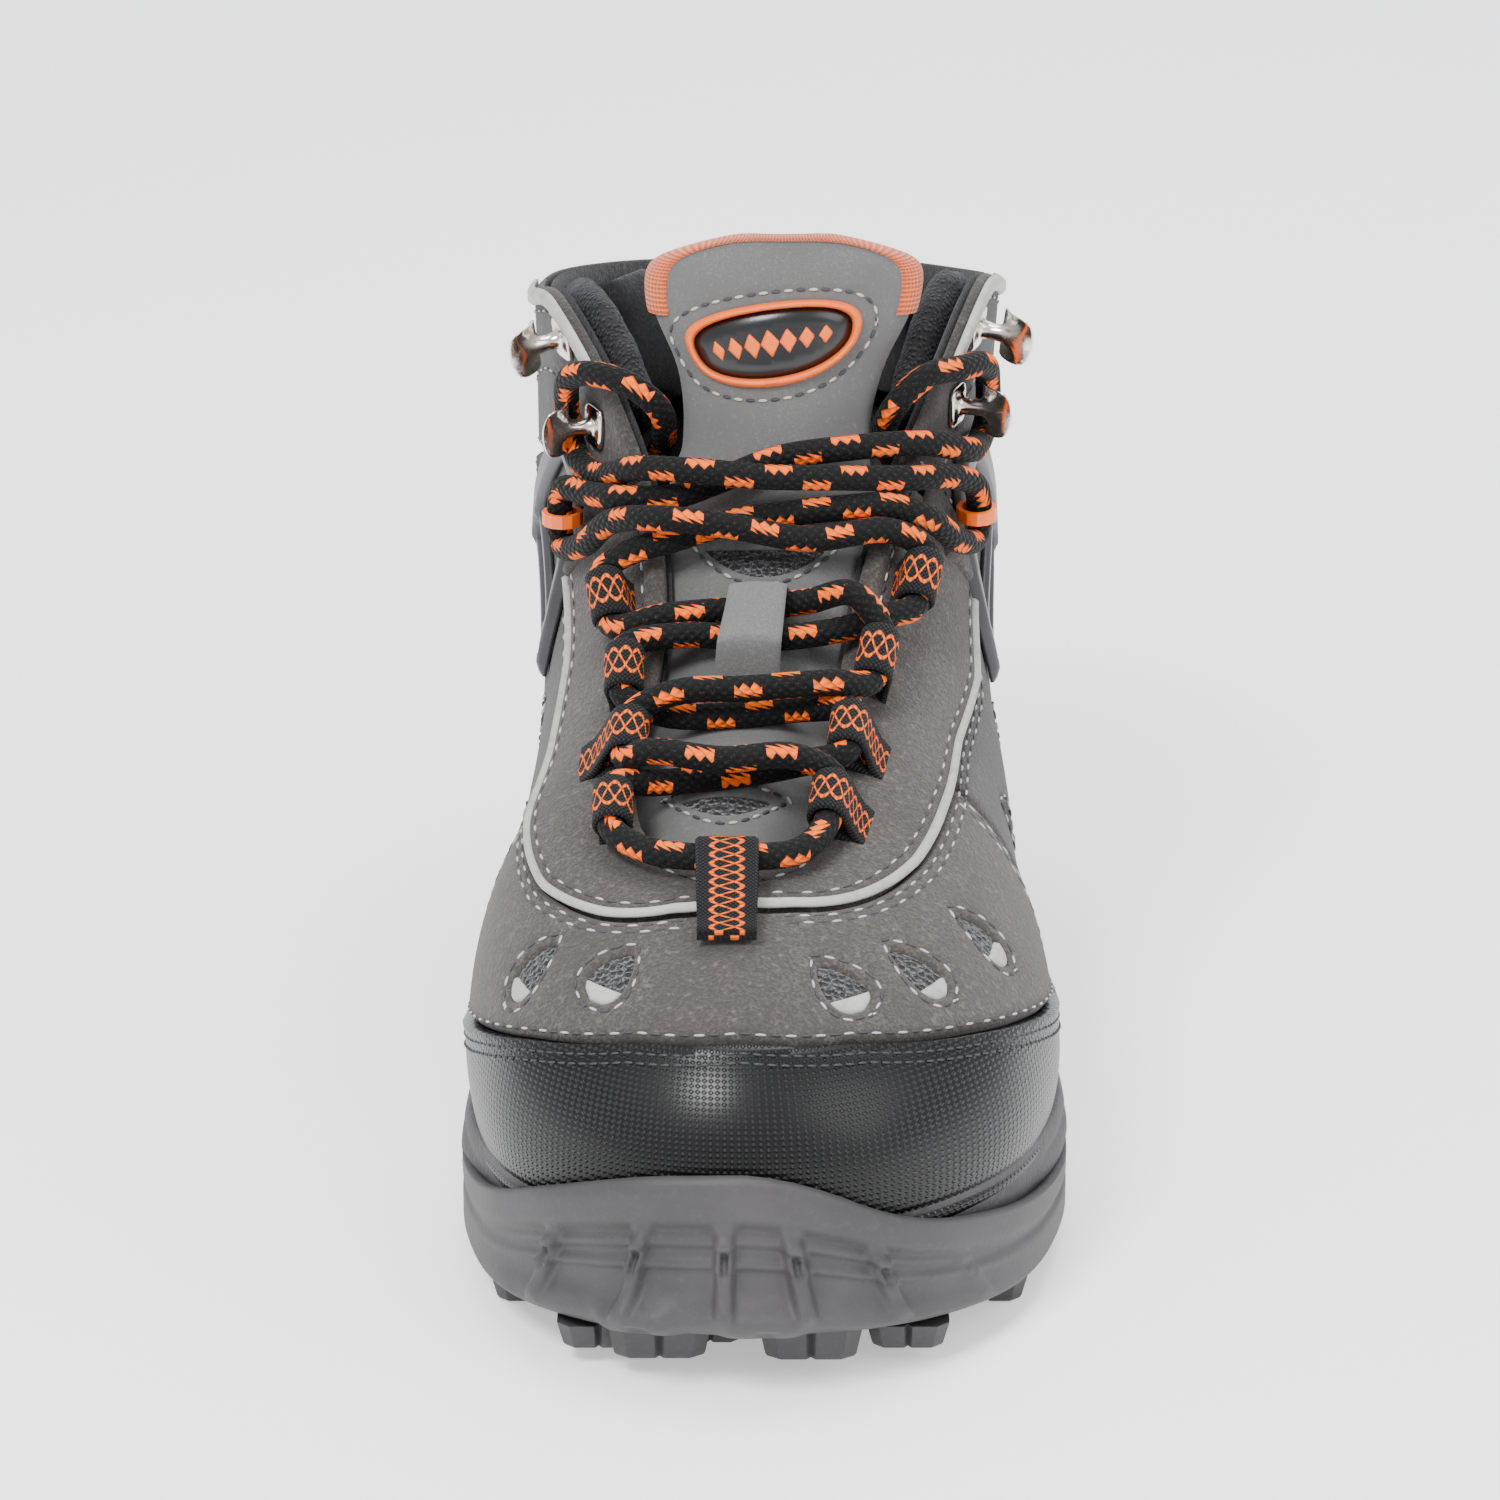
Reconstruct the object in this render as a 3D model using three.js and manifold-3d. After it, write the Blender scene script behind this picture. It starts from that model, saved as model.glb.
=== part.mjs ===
// A mid-height lace-up hiking boot for the left foot, in millimetres.
// +Z is up, the toe points along -Y and the outer side of the foot is +X.
import * as THREE from "three";
import { mergeVertices } from "three/addons/utils/BufferGeometryUtils.js";
import Module from "manifold-3d";

const wasm = await Module();
wasm.setup();

// Overall sizes of the boot.
const SOLE_LENGTH = 298;
const BALL_WIDTH = 114;
const COLLAR_HEIGHT = 154;

// The sizes that the ribs below are drawn at. The overall sizes stretch them.
const DRAWN = { length: 298, width: 114, height: 154 };

// Layers of the upper, measured along its surface normal.
const GAP = 0.5;
const SUEDE = 1.8;
const LINING = 1.8;
const OVERLAY = 0.8;
const BAND = 1.2;
const PAD = 9;
const TONGUE = 4.5;

// The sole.
const LUG = 4;
const OUTSOLE = 3;
const RUBBER_WALL = 2.2;
const EVA_WALL = 3.2;
const MIDSOLE_RIM = 0.6;
const BOARD = 1.6;
const FOOTBED = 4;
const SHANK = { length: 90, width: 12, thick: 1.6 };

// Lacing.
const LACE = 5;
const LACE_PLAY = 0.5;
const WEBBING = 1.1;
const WEBBING_WIDTH = 8.6;
const HOOK = 9;
const HOOK_SHEET = 1;
const HOOK_NECK = 1.6;
const HOOK_ROOM = 0.6;
const EYELET = 1;
const EYELET_WIDTH = 2.6;
const AGLET = { long: 20, radius: 1.9, taper: 0.8 };

// Ribs of the upper. A rib climbs from the foot of the wall, where the upper meets the sole, to the
// top line, which is the edge of the throat at the front and of the collar behind it. A rib holds
// foot x, y, z, top x, y, z, the length of its upright start, how far that start leans out, how far
// its end reaches towards the foot, and how far that end drops.
const TOE_RIB = [-4, -144.8, 34, -7, -84, 77, 24, 3, 40, 3];
const HEEL_RIB = [0, 145.4, 39, 0, 129, 134, 40, 4, 4, 44];
const LATERAL_RIBS = [
  [21, -138, 33, -2, -83, 77, 24, 3, 36, 3],
  [42, -115, 31, 3, -80, 78, 26, 5, 30, 3],
  [52, -84, 28, 7, -72, 81, 28, 6, 26, 2],
  [53, -54, 26, 10, -58, 87, 30, 6, 26, 2],
  [50, -24, 27, 13, -40, 95, 36, 3, 26, 4],
  [48, 4, 30, 17, -22, 106, 44, 4, 26, 8],
  [45, 30, 33, 24, -4, 121, 52, 5, 22, 10],
  [43, 54, 35, 34, 14, 139, 60, 7, 18, 12],
  [41, 76, 36, 43, 34, 154, 60, 8, 12, 20],
  [38, 100, 37, 47, 60, 149, 60, 8, 6, 30],
  [31, 122, 38, 42, 92, 142, 50, 5, 4, 40],
  [17, 139, 39, 25, 118, 137, 40, 4, 4, 44],
];
const MEDIAL_RIBS = [
  [-26, -138, 33, -12, -83, 77, 24, 3, 34, 3],
  [-44, -118, 31, -17, -80, 78, 26, 5, 28, 3],
  [-52, -91, 28, -22, -72, 81, 28, 6, 24, 2],
  [-53, -63, 26, -23, -58, 87, 30, 7, 22, 2],
  [-49, -34, 28, -20, -40, 95, 36, 3, 22, 4],
  [-45, 0, 32, -19, -22, 106, 44, 4, 24, 8],
  [-42, 28, 36, -22, -4, 121, 52, 8, 22, 10],
  [-41, 54, 38, -31, 14, 139, 60, 10, 18, 12],
  [-41, 78, 38, -41, 34, 151, 60, 10, 12, 20],
  [-39, 102, 38, -46, 60, 147, 60, 9, 6, 30],
  [-31, 123, 38, -42, 92, 142, 50, 5, 4, 40],
  [-17, 139, 39, -25, 118, 137, 40, 4, 4, 44],
];
const RIBS = [TOE_RIB, ...LATERAL_RIBS, HEEL_RIB, ...MEDIAL_RIBS.toReversed()];
const TURN = RIBS.length;
const HEEL = TURN / 2;

const WIDE = BALL_WIDTH / DRAWN.width;
const LONG = SOLE_LENGTH / DRAWN.length;
const TALL = COLLAR_HEIGHT / DRAWN.height;

function at(x, y, z) {
  return new THREE.Vector3(x * WIDE, y * LONG, z * TALL);
}

// ---------------------------------------------------------------- solids from vertices

// Signed volume tells which way the faces of a closed mesh point.
function signedVolume(points, faces) {
  const cross = new THREE.Vector3();
  const sum = faces.reduce(
    (total, [a, b, c]) => total + points[a].dot(cross.crossVectors(points[b], points[c])),
    0,
  );
  return sum / 6;
}

function closedGeometry(points, faces) {
  const flip = signedVolume(points, faces) < 0;
  const index = faces.flatMap(([a, b, c]) => (flip ? [a, c, b] : [a, b, c]));
  const geometry = new THREE.BufferGeometry().setFromPoints(points);
  geometry.setIndex(index);
  return geometry;
}

// A skin of some thickness between two grids of points. A ring closes on itself along its rows.
function skin(outer, inner, ring = false) {
  const rows = outer.length;
  const columns = outer[0].length;
  const points = [...outer.flat(), ...inner.flat()];
  const under = rows * columns;
  const faces = [];
  const quad = (a, b, c, d) => faces.push([a, b, c], [a, c, d]);
  const rowSteps = ring ? rows : rows - 1;
  for (let i = 0; i < rowSteps; i += 1) {
    const here = i * columns;
    const next = ((i + 1) % rows) * columns;
    for (let j = 0; j < columns - 1; j += 1) {
      quad(here + j, next + j, next + j + 1, here + j + 1);
      quad(under + here + j, under + here + j + 1, under + next + j + 1, under + next + j);
    }
    quad(here, under + here, under + next, next);
    const top = columns - 1;
    quad(here + top, next + top, under + next + top, under + here + top);
  }
  if (!ring) {
    const last = (rows - 1) * columns;
    for (let j = 0; j < columns - 1; j += 1) {
      quad(j, j + 1, under + j + 1, under + j);
      quad(last + j, under + last + j, under + last + j + 1, last + j + 1);
    }
  }
  return closedGeometry(points, faces);
}

// A dish: rings of points around the boot, from the middle of its floor outside, over the rim and
// down to the middle of its floor inside. Both floors are closed by strips from side to side.
function dish(rings) {
  const count = rings[0].length;
  const points = rings.flat();
  const faces = [];
  for (let k = 0; k < rings.length - 1; k += 1) {
    for (let i = 0; i < count; i += 1) {
      const a = k * count + i;
      const b = k * count + ((i + 1) % count);
      faces.push([a, b, b + count], [a, b + count, a + count]);
    }
  }
  const half = count / 2;
  const strip = (start, flip) => {
    for (let i = 0; i < half; i += 1) {
      const a = start + i;
      const b = start + i + 1;
      const c = start + ((count - i - 1) % count);
      const d = start + ((count - i) % count);
      const add = (p, q, r) => faces.push(flip ? [p, r, q] : [p, q, r]);
      if (d !== a) add(a, c, d);
      if (b !== c) add(a, b, c);
    }
  };
  strip(0, true);
  strip((rings.length - 1) * count, false);
  return closedGeometry(points, faces);
}

// ---------------------------------------------------------------- booleans

const SAME_POINT = 1e-4;

function toManifold(geometry) {
  const shell = geometry.clone();
  shell.deleteAttribute("normal");
  shell.deleteAttribute("uv");
  const merged = mergeVertices(shell, SAME_POINT);
  const vertProperties = new Float32Array(merged.attributes.position.array);
  const triVerts = new Uint32Array(merged.index.array);
  return new wasm.Manifold(new wasm.Mesh({ numProp: 3, vertProperties, triVerts }));
}

function fromManifold(solid) {
  const mesh = solid.getMesh();
  const geometry = new THREE.BufferGeometry();
  geometry.setAttribute("position", new THREE.BufferAttribute(mesh.vertProperties, 3));
  geometry.setIndex(new THREE.BufferAttribute(mesh.triVerts, 1));
  return geometry;
}

function cut(geometry, tools) {
  const subtract = (solid, tool) => solid.subtract(toManifold(tool));
  return fromManifold(tools.reduce(subtract, toManifold(geometry)));
}

function join(geometries) {
  const [first, ...others] = geometries.map(toManifold);
  return fromManifold(others.reduce((solid, other) => solid.add(other), first));
}

// ---------------------------------------------------------------- the surface of the upper

// Smooth blend of neighbouring rows of numbers at a spot between them.
function blendRows(rows, spot) {
  const first = Math.floor(spot);
  const f = spot - first;
  const row = (k) => rows[((k % rows.length) + rows.length) % rows.length];
  const [a, b, c, d] = [row(first - 1), row(first), row(first + 1), row(first + 2)];
  return b.map((value, n) => {
    const slope = (c[n] - a[n]) * f;
    const bend = (2 * a[n] - 5 * value + 4 * c[n] - d[n]) * f * f;
    const twist = (3 * value - a[n] - 3 * c[n] + d[n]) * f ** 3;
    return value + (slope + bend + twist) / 2;
  });
}

function rib(w) {
  const [fx, fy, fz, tx, ty, tz, rise, lean, reach, drop] = blendRows(RIBS, w);
  return { foot: at(fx, fy, fz), top: at(tx, ty, tz), rise: rise * TALL, lean, reach, drop };
}

// Direction away from the boot, level, at the foot of the wall.
function outward(w) {
  const step = 0.02;
  const along = rib(w + step).foot.sub(rib(w - step).foot);
  return new THREE.Vector3(along.y, -along.x, 0).normalize();
}

function bare(w, h) {
  const { foot, top, rise, lean, reach, drop } = rib(w);
  const start = foot.clone().addScaledVector(outward(w), lean);
  start.z += rise;
  const inward = foot.clone().sub(top).setZ(0);
  const longest = 0.8 * inward.length() + 6;
  const end = top.clone().addScaledVector(inward.clone().normalize(), Math.min(reach, longest));
  end.z -= drop;
  return new THREE.CubicBezierCurve3(foot, start, end, top).getPoint(h);
}

function normalAt(w, h) {
  const step = 0.03;
  const low = Math.max(h - step, 0);
  const high = Math.min(h + step, 1);
  const along = bare(w + step, h).sub(bare(w - step, h));
  const up = bare(w, high).sub(bare(w, low));
  return along.cross(up).normalize();
}

// The point of the upper at place w around it and share h of the way up, lifted by offset.
function upper(w, h, offset = 0) {
  return bare(w, h).addScaledVector(normalAt(w, h), offset);
}

const level = (value) => () => value;

// A panel of the upper between two heights, which may change along it.
function panel({ from, to, low, high, inside, outside, along, up, slant = 0, ring = false }) {
  const rows = ring ? along : along + 1;
  const grid = (offset) => Array.from({ length: rows }, (_, i) => {
    const w = THREE.MathUtils.lerp(from, to, i / along);
    return Array.from({ length: up + 1 }, (_, j) => {
      const h = THREE.MathUtils.lerp(low(w), high(w), j / up);
      return upper(w + slant * (h - 0.6), h, offset);
    });
  });
  return skin(grid(outside), grid(inside), ring);
}

// Medial places are counted backwards from the toe.
const side = { lateral: 1, medial: -1 };

// Straight lines through a few values at places, for the edges of panels.
function through(values) {
  const numbers = Object.entries(values).map(([spot, value]) => [Number(spot), value]);
  const line = numbers.sort((a, b) => a[0] - b[0]);
  return (w) => {
    const k = THREE.MathUtils.clamp(line.findIndex(([place]) => place >= w), 1, line.length - 1);
    const [[a, low], [b, high]] = [line[k - 1], line[k]];
    return THREE.MathUtils.lerp(low, high, THREE.MathUtils.clamp((w - a) / (b - a), 0, 1));
  };
}

// Heights of the seams, at places counted away from the toe on each side.
const RAND_TOP = through({ 0: 0.48, 1: 0.45, 2: 0.36, 3: 0.25, 4: 0.16, 5: 0.12 });
const EYESTAY_LOW = {
  lateral: through({ 0: 0.87, 1: 0.84, 2: 0.78, 3: 0.72, 4: 0.68, 5: 0.62, 6: 0.53, 7.4: 0.5 }),
  medial: through({ 0: 0.87, 1: 0.82, 2: 0.73, 3: 0.66, 4: 0.63, 5: 0.62, 6: 0.6, 7.4: 0.52 }),
};
const PIPING = { low: -0.01, high: 0.03, start: 0.9 };
const TRIM = { start: 9, low: 0.93 };
const COLLAR_PAD = { start: 7.9, end: 11.2, low: 0.76, heelLow: 0.7 };
const QUARTER_TOP = 0.5;
const SEAM = 0.008;
const FOOT_LOW = 0.006;
const TOP_HIGH = 0.985;
const VAMP_END = 4.4;
const EYESTAY_END = 7.2;
const FLAP_START = 7.3;
const FLAP_END = 10.4;
const COUNTER_START = 9.7;
const PLACE_GAP = 0.03;

const LINING_OUT = -SUEDE - GAP;
const LINING_IN = LINING_OUT - LINING;
const PAD_OUT = LINING_IN - GAP;
const PAD_IN = PAD_OUT - PAD;

// ---------------------------------------------------------------- materials

function finish(color, roughness, metalness = 0) {
  return new THREE.MeshStandardMaterial({ color, roughness, metalness });
}

const suede = () => finish(0x5c5956, 0.95);
const darkSuede = () => finish(0x4a4a4b, 0.95);
const nubuck = () => finish(0x63676b, 0.85);
const meshCloth = () => finish(0x1d1d1f, 0.9);
const rubber = () => finish(0x3e3e40, 0.75);
const foam = () => finish(0x47474a, 0.85);
const randRubber = () => finish(0x1b1b1d, 0.45);
const webbing = () => finish(0x222224, 0.85);
const laceYarn = () => finish(0x19191b, 0.85);
const orange = () => finish(0xe8702a, 0.7);
const lightTrim = () => finish(0xb4b5b0, 0.6);
const nickel = () => finish(0xa9a6a2, 0.22, 1);
const mouldedFrame = () => finish(0x505156, 0.55);
const board = () => finish(0x8a7a60, 0.95);
const steel = () => finish(0x8d9094, 0.4, 1);

const boot = new THREE.Group();

function place(name, geometry, material, parent = boot) {
  const mesh = new THREE.Mesh(geometry, material);
  mesh.name = name;
  parent.add(mesh);
  return mesh;
}

// ---------------------------------------------------------------- sole

const SOLE_STEPS = 52;
const RING_PLACES = Array.from({ length: SOLE_STEPS }, (_, i) => (i * TURN) / SOLE_STEPS);

// The tread springs up ahead of its toe start and behind its heel start, over the rest of the sole.
const TOE_SPRING = { start: 92, run: 58, high: 9 };
const HEEL_SPRING = { start: 122, run: 28, high: 3 };

// How high the underside of the rubber lies above the ground.
function treadHeight(y) {
  const toe = Math.max(0, -y / LONG - TOE_SPRING.start) / TOE_SPRING.run;
  const heel = Math.max(0, y / LONG - HEEL_SPRING.start) / HEEL_SPRING.run;
  return LUG + TOE_SPRING.high * toe ** 2 + HEEL_SPRING.high * heel ** 2;
}

// A ring of points around the sole, out from the foot of the wall, at a height.
function soleRing(offset, height, spread = () => 0) {
  return RING_PLACES.map((w) => {
    const point = rib(w).foot.addScaledVector(outward(w), offset + spread(w));
    point.z = height(w, point);
    return point;
  });
}

// Places away from the toe, the same on both sides.
const fromToe = (w) => Math.min(w, TURN - w);
const footHeight = (w) => rib(w).foot.z;

// How far the rubber wall stands above the foot of the upper, and how its toe bumper leans out.
const WALL_RISE = through({ 0: 13, 1.2: 12, 2: 3, 3: -6, 4: -9, 9: -12, 12: -8, 13: -4 });
const BUMPER_LEAN = 0.1;
const SOLE_ROUND = 4;
const FLOOR_INSET = 8;
const LIP = 0.6;

function outsole() {
  const wallTop = (w) => footHeight(w) + WALL_RISE(fromToe(w));
  const spread = (w) => Math.max(0, WALL_RISE(fromToe(w))) * BUMPER_LEAN;
  const under = (w, point) => treadHeight(point.y);
  const floor = (w, point) => treadHeight(point.y) + OUTSOLE;
  const wallOut = OVERLAY + GAP + RUBBER_WALL;
  const wallIn = OVERLAY + GAP;
  const rings = [
    soleRing(-FLOOR_INSET, under),
    soleRing(wallOut - SOLE_ROUND - 1, under),
    soleRing(wallOut - 1, (w, point) => under(w, point) + SOLE_ROUND),
    soleRing(wallOut, (w, point) => THREE.MathUtils.lerp(under(w, point) + SOLE_ROUND, wallTop(w), LIP)),
    soleRing(wallOut - LIP, wallTop, spread),
    soleRing(wallIn, wallTop, spread),
    soleRing(wallIn, (w, point) => floor(w, point) + SOLE_ROUND / 2),
    soleRing(wallIn - SOLE_ROUND / 2, floor),
    soleRing(-FLOOR_INSET, floor),
  ];
  return join([dish(rings), ...lugs()]);
}

// Lugs stand in rows across the sole: one at each edge, and a smaller one beside it where there is
// room. The waist under the arch has none.
const LUG_ROWS = { first: -128, last: 132, count: 11, waist: [5, 6] };
const EDGE_LUG = { fromEdge: 7, wide: 15, long: 13, back: 0 };
const INNER_LUG = { fromEdge: 27, wide: 13, long: 12, back: 3 };
const LUG_TAPER = 0.84;
const LUG_SUNK = 1;

function lugs() {
  const blocks = [];
  const { first, last, count, waist } = LUG_ROWS;
  for (let row = 0; row < count; row += 1) {
    if (waist.includes(row)) continue;
    const y = THREE.MathUtils.lerp(first, last, row / (count - 1));
    const { lateral, medial } = edgesOfSole(y);
    const half = (lateral - medial) / 2;
    for (const kind of [EDGE_LUG, INNER_LUG]) {
      if (half < kind.fromEdge + 1) continue;
      const x = (lateral + medial) / 2;
      for (const way of [-1, 1]) blocks.push(lug(x + way * (half - kind.fromEdge), y + kind.back, kind));
    }
  }
  return blocks;
}

// A square block that narrows towards the ground, its top sunk into the rubber.
function lug(x, y, { wide, long }) {
  const top = treadHeight(y * LONG) + LUG_SUNK;
  const bottom = Math.max(0, top - LUG_SUNK - LUG);
  const geometry = new THREE.CylinderGeometry(0.5, 0.5 * LUG_TAPER, top - bottom, 4, 1);
  geometry.rotateY(Math.PI / 4);
  geometry.scale(wide * Math.SQRT2, 1, long * Math.SQRT2);
  geometry.rotateX(Math.PI / 2);
  geometry.translate(x, y * LONG, (top + bottom) / 2);
  return geometry;
}

// Outer and inner edge of the sole at a distance along it, as x.
function edgesOfSole(y) {
  const find = (from, to) => {
    let [a, b] = [from, to];
    for (let n = 0; n < 24; n += 1) {
      const middle = (a + b) / 2;
      if (rib(middle).foot.y < y * LONG) a = middle;
      else b = middle;
    }
    return rib(a).foot.x;
  };
  return { lateral: find(0, HEEL), medial: find(TURN, HEEL) };
}

const MIDSOLE_BED = { slope: 1.5, inset: 12 };

function midsole() {
  const rim = (w) => footHeight(w) - GAP;
  const under = (w, point) => treadHeight(point.y) + OUTSOLE + GAP;
  const bed = (w, point) => boardHeight(point.y);
  const edge = MIDSOLE_RIM;
  const rings = [
    soleRing(-FLOOR_INSET, under),
    soleRing(edge - 3, under),
    soleRing(edge, (w, point) => under(w, point) + SOLE_ROUND),
    soleRing(edge, (w) => rim(w) - SOLE_ROUND),
    soleRing(edge - 1, rim),
    soleRing(-EVA_WALL, rim),
    soleRing(-EVA_WALL - MIDSOLE_BED.slope, bed),
    soleRing(-MIDSOLE_BED.inset, bed),
  ];
  return dish(rings);
}

// The bed that the lasting board lies on: level under the ball, higher under the heel and the toes.
const BED_LEVEL = { ball: 17, heel: 24, toeRise: 5 };

function boardHeight(y) {
  const heel = THREE.MathUtils.smoothstep(y / LONG, -60, 60);
  const toe = THREE.MathUtils.smoothstep(-y / LONG, 90, 140);
  return THREE.MathUtils.lerp(BED_LEVEL.ball, BED_LEVEL.heel, heel) + BED_LEVEL.toeRise * toe;
}

// A slab lying in the boot, its edge a distance inside the foot of the wall.
function slab({ from, to, inset, bottom, thick }) {
  const across = 2;
  const rows = 18;
  const line = (lift) => Array.from({ length: rows + 1 }, (_, i) => {
    const w = THREE.MathUtils.lerp(from, to, i / rows);
    const lateral = rib(w).foot.addScaledVector(outward(w), -inset);
    const medial = rib(TURN - w).foot.addScaledVector(outward(TURN - w), -inset);
    return Array.from({ length: across + 1 }, (_, j) => {
      const point = medial.clone().lerp(lateral, j / across);
      point.z = bottom(point.y) + lift;
      return point;
    });
  });
  return skin(line(thick), line(0));
}

const BOARD_INSET = EVA_WALL + 3;
const BED_INSET = 10;
const boardTop = (y) => boardHeight(y) + GAP + BOARD;
const BEND_PLACE = 4.6;

// A flat strip that follows the bed, between two lifts above it.
function bedStrip({ length, width, low, high }) {
  const rows = 9;
  const middle = 12;
  const line = (lift) => Array.from({ length: rows + 1 }, (_, i) => {
    const y = (middle + length * (i / rows - 0.5)) * LONG;
    return [-1, 1].map((s) => new THREE.Vector3((s * width) / 2, y, boardHeight(y) + lift));
  });
  return skin(line(high), line(low));
}

place("outsole", outsole(), rubber());
const pocket = bedStrip({
  length: SHANK.length + 2 * GAP,
  width: SHANK.width + 2 * GAP,
  low: -SHANK.thick - 2 * GAP,
  high: SHANK.thick,
});
place("midsole", cut(midsole(), [pocket]), foam());
place("shank", bedStrip({ ...SHANK, low: -SHANK.thick - GAP, high: -GAP }), steel());
const boardBottom = (y) => boardHeight(y) + GAP;
place("lasting_board", slab({
  from: 0.35, to: HEEL - 0.35, inset: BOARD_INSET, bottom: boardBottom, thick: BOARD,
}), board());
const bedBottom = (y) => boardTop(y) + GAP;
place("footbed_fore", slab({
  from: 0.5, to: BEND_PLACE - PLACE_GAP, inset: BED_INSET, bottom: bedBottom, thick: FOOTBED,
}), nubuck());
place("footbed_heel", slab({
  from: BEND_PLACE + PLACE_GAP, to: HEEL - 0.4, inset: BED_INSET, bottom: bedBottom, thick: FOOTBED,
}), nubuck());

// ---------------------------------------------------------------- upper

place("lining", panel({
  from: 0, to: TURN, low: level(FOOT_LOW), high: level(TOP_HIGH),
  inside: LINING_IN, outside: LINING_OUT, along: 78, up: 6, ring: true,
}), meshCloth());

// A pointed oval cutter standing along the surface normal.
function ovalCutter({ w, h, length, width, lean }) {
  const shape = new THREE.Shape();
  shape.moveTo(0, -length / 2);
  shape.quadraticCurveTo(width, -length / 8, 0, length / 2);
  shape.quadraticCurveTo(-width, -length / 8, 0, -length / 2);
  const deep = 3 * SUEDE;
  const cutter = new THREE.ExtrudeGeometry(shape, { depth: deep, bevelEnabled: false, curveSegments: 4 });
  cutter.translate(0, 0, -deep / 2);
  cutter.rotateZ(lean);
  const normal = normalAt(w, h);
  const up = bare(w, h + 0.05).sub(bare(w, h - 0.05)).normalize();
  const across = up.clone().cross(normal).normalize();
  const frame = new THREE.Matrix4().makeBasis(across, normal.clone().cross(across), normal);
  frame.setPosition(upper(w, h, -SUEDE / 2));
  return cutter.applyMatrix4(frame);
}

const VENTS = [
  { w: 1.05, h: 0.6, length: 13, width: 7, lean: 0.35 },
  { w: 1.85, h: 0.56, length: 14, width: 6, lean: 0.3 },
  { w: 2.8, h: 0.5, length: 14, width: 6, lean: 0.2 },
  { w: -1.45, h: 0.6, length: 13, width: 7, lean: -0.35 },
  { w: -2.4, h: 0.5, length: 14, width: 6, lean: -0.3 },
];

const sideOf = (w) => (w < 0 ? "medial" : "lateral");
const eyestayLow = (w) => EYESTAY_LOW[sideOf(w)](Math.abs(w));
place("toe_rand", panel({
  from: -VAMP_END, to: VAMP_END, low: level(FOOT_LOW), high: (w) => RAND_TOP(Math.abs(w)),
  inside: -SUEDE, outside: OVERLAY, along: 28, up: 4,
}), randRubber());
place("vamp", cut(panel({
  from: -VAMP_END, to: VAMP_END,
  low: (w) => RAND_TOP(Math.abs(w)) + SEAM, high: (w) => eyestayLow(w) - SEAM,
  inside: -SUEDE, outside: 0, along: 24, up: 4,
}), VENTS.map(ovalCutter)), suede());

const QUARTER_SLOTS = [
  { w: 5.4, h: 0.3, length: 16, width: 4, lean: 0.6 },
  { w: 6.6, h: 0.28, length: 16, width: 4, lean: 0.6 },
];

for (const [name, s] of Object.entries(side)) {
  const low = EYESTAY_LOW[name];
  const quarterTop = (w) => Math.min(low(Math.abs(w)), QUARTER_TOP) - SEAM;
  const span = (from, to) => (s > 0 ? { from, to } : { from: -to, to: -from });
  const here = (height) => (w) => height(Math.abs(w));
  const slots = QUARTER_SLOTS.map((slot) => ovalCutter({ ...slot, w: s * slot.w, lean: s * slot.lean }));
  place(`quarter_${name}`, cut(panel({
    ...span(VAMP_END + PLACE_GAP, COUNTER_START - PLACE_GAP), low: level(FOOT_LOW), high: quarterTop,
    inside: -SUEDE, outside: 0, along: 14, up: 4,
  }), slots), darkSuede());
  place(`eyestay_${name}`, panel({
    ...span(PLACE_GAP, EYESTAY_END), low: here((w) => low(w)), high: level(TOP_HIGH),
    inside: -SUEDE, outside: OVERLAY, along: 18, up: 3,
  }), suede());
  place(`piping_${name}`, panel({
    ...span(PIPING.start, EYESTAY_END),
    low: here((w) => low(w) + PIPING.low), high: here((w) => low(w) + PIPING.high),
    inside: OVERLAY + GAP, outside: OVERLAY + GAP + BAND, along: 20, up: 1,
  }), lightTrim());
  place(`ankle_flap_${name}`, panel({
    ...span(FLAP_START, FLAP_END), low: level(QUARTER_TOP + SEAM), high: level(TOP_HIGH),
    inside: -SUEDE, outside: 0, along: 8, up: 4,
  }), darkSuede());
  place(`collar_trim_${name}`, panel({
    ...span(TRIM.start, FLAP_END), low: level(TRIM.low), high: level(TOP_HIGH),
    inside: GAP, outside: GAP + BAND, along: 5, up: 1,
  }), lightTrim());
  place(`collar_pad_${name}`, panel({
    ...span(COLLAR_PAD.start, COLLAR_PAD.end), low: level(COLLAR_PAD.low), high: level(TOP_HIGH),
    inside: PAD_IN, outside: PAD_OUT, along: 8, up: 3,
  }), meshCloth());
}

place("heel_counter", panel({
  from: COUNTER_START, to: TURN - COUNTER_START, low: level(FOOT_LOW), high: level(QUARTER_TOP - SEAM),
  inside: -SUEDE, outside: OVERLAY, along: 20, up: 4,
}), suede());
place("heel_cover", panel({
  from: FLAP_END + PLACE_GAP, to: TURN - FLAP_END - PLACE_GAP,
  low: level(QUARTER_TOP + SEAM), high: level(TOP_HIGH),
  inside: -SUEDE, outside: 0, along: 12, up: 3,
}), darkSuede());
place("collar_pad_heel", panel({
  from: COLLAR_PAD.end + PLACE_GAP, to: TURN - COLLAR_PAD.end - PLACE_GAP,
  low: level(COLLAR_PAD.heelLow), high: level(TOP_HIGH),
  inside: PAD_IN, outside: PAD_OUT, along: 8, up: 3,
}), meshCloth());

// ---------------------------------------------------------------- ankle frames

// Moulded frame with a window. It leans back with the throat, and the lace turns in front of it.
const FRAME = {
  from: 7.4, to: 8.8, low: 0.36, high: 0.7, rib: 0.2, ribHigh: 0.06, thick: 1.8, slant: 1.4,
};

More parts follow.
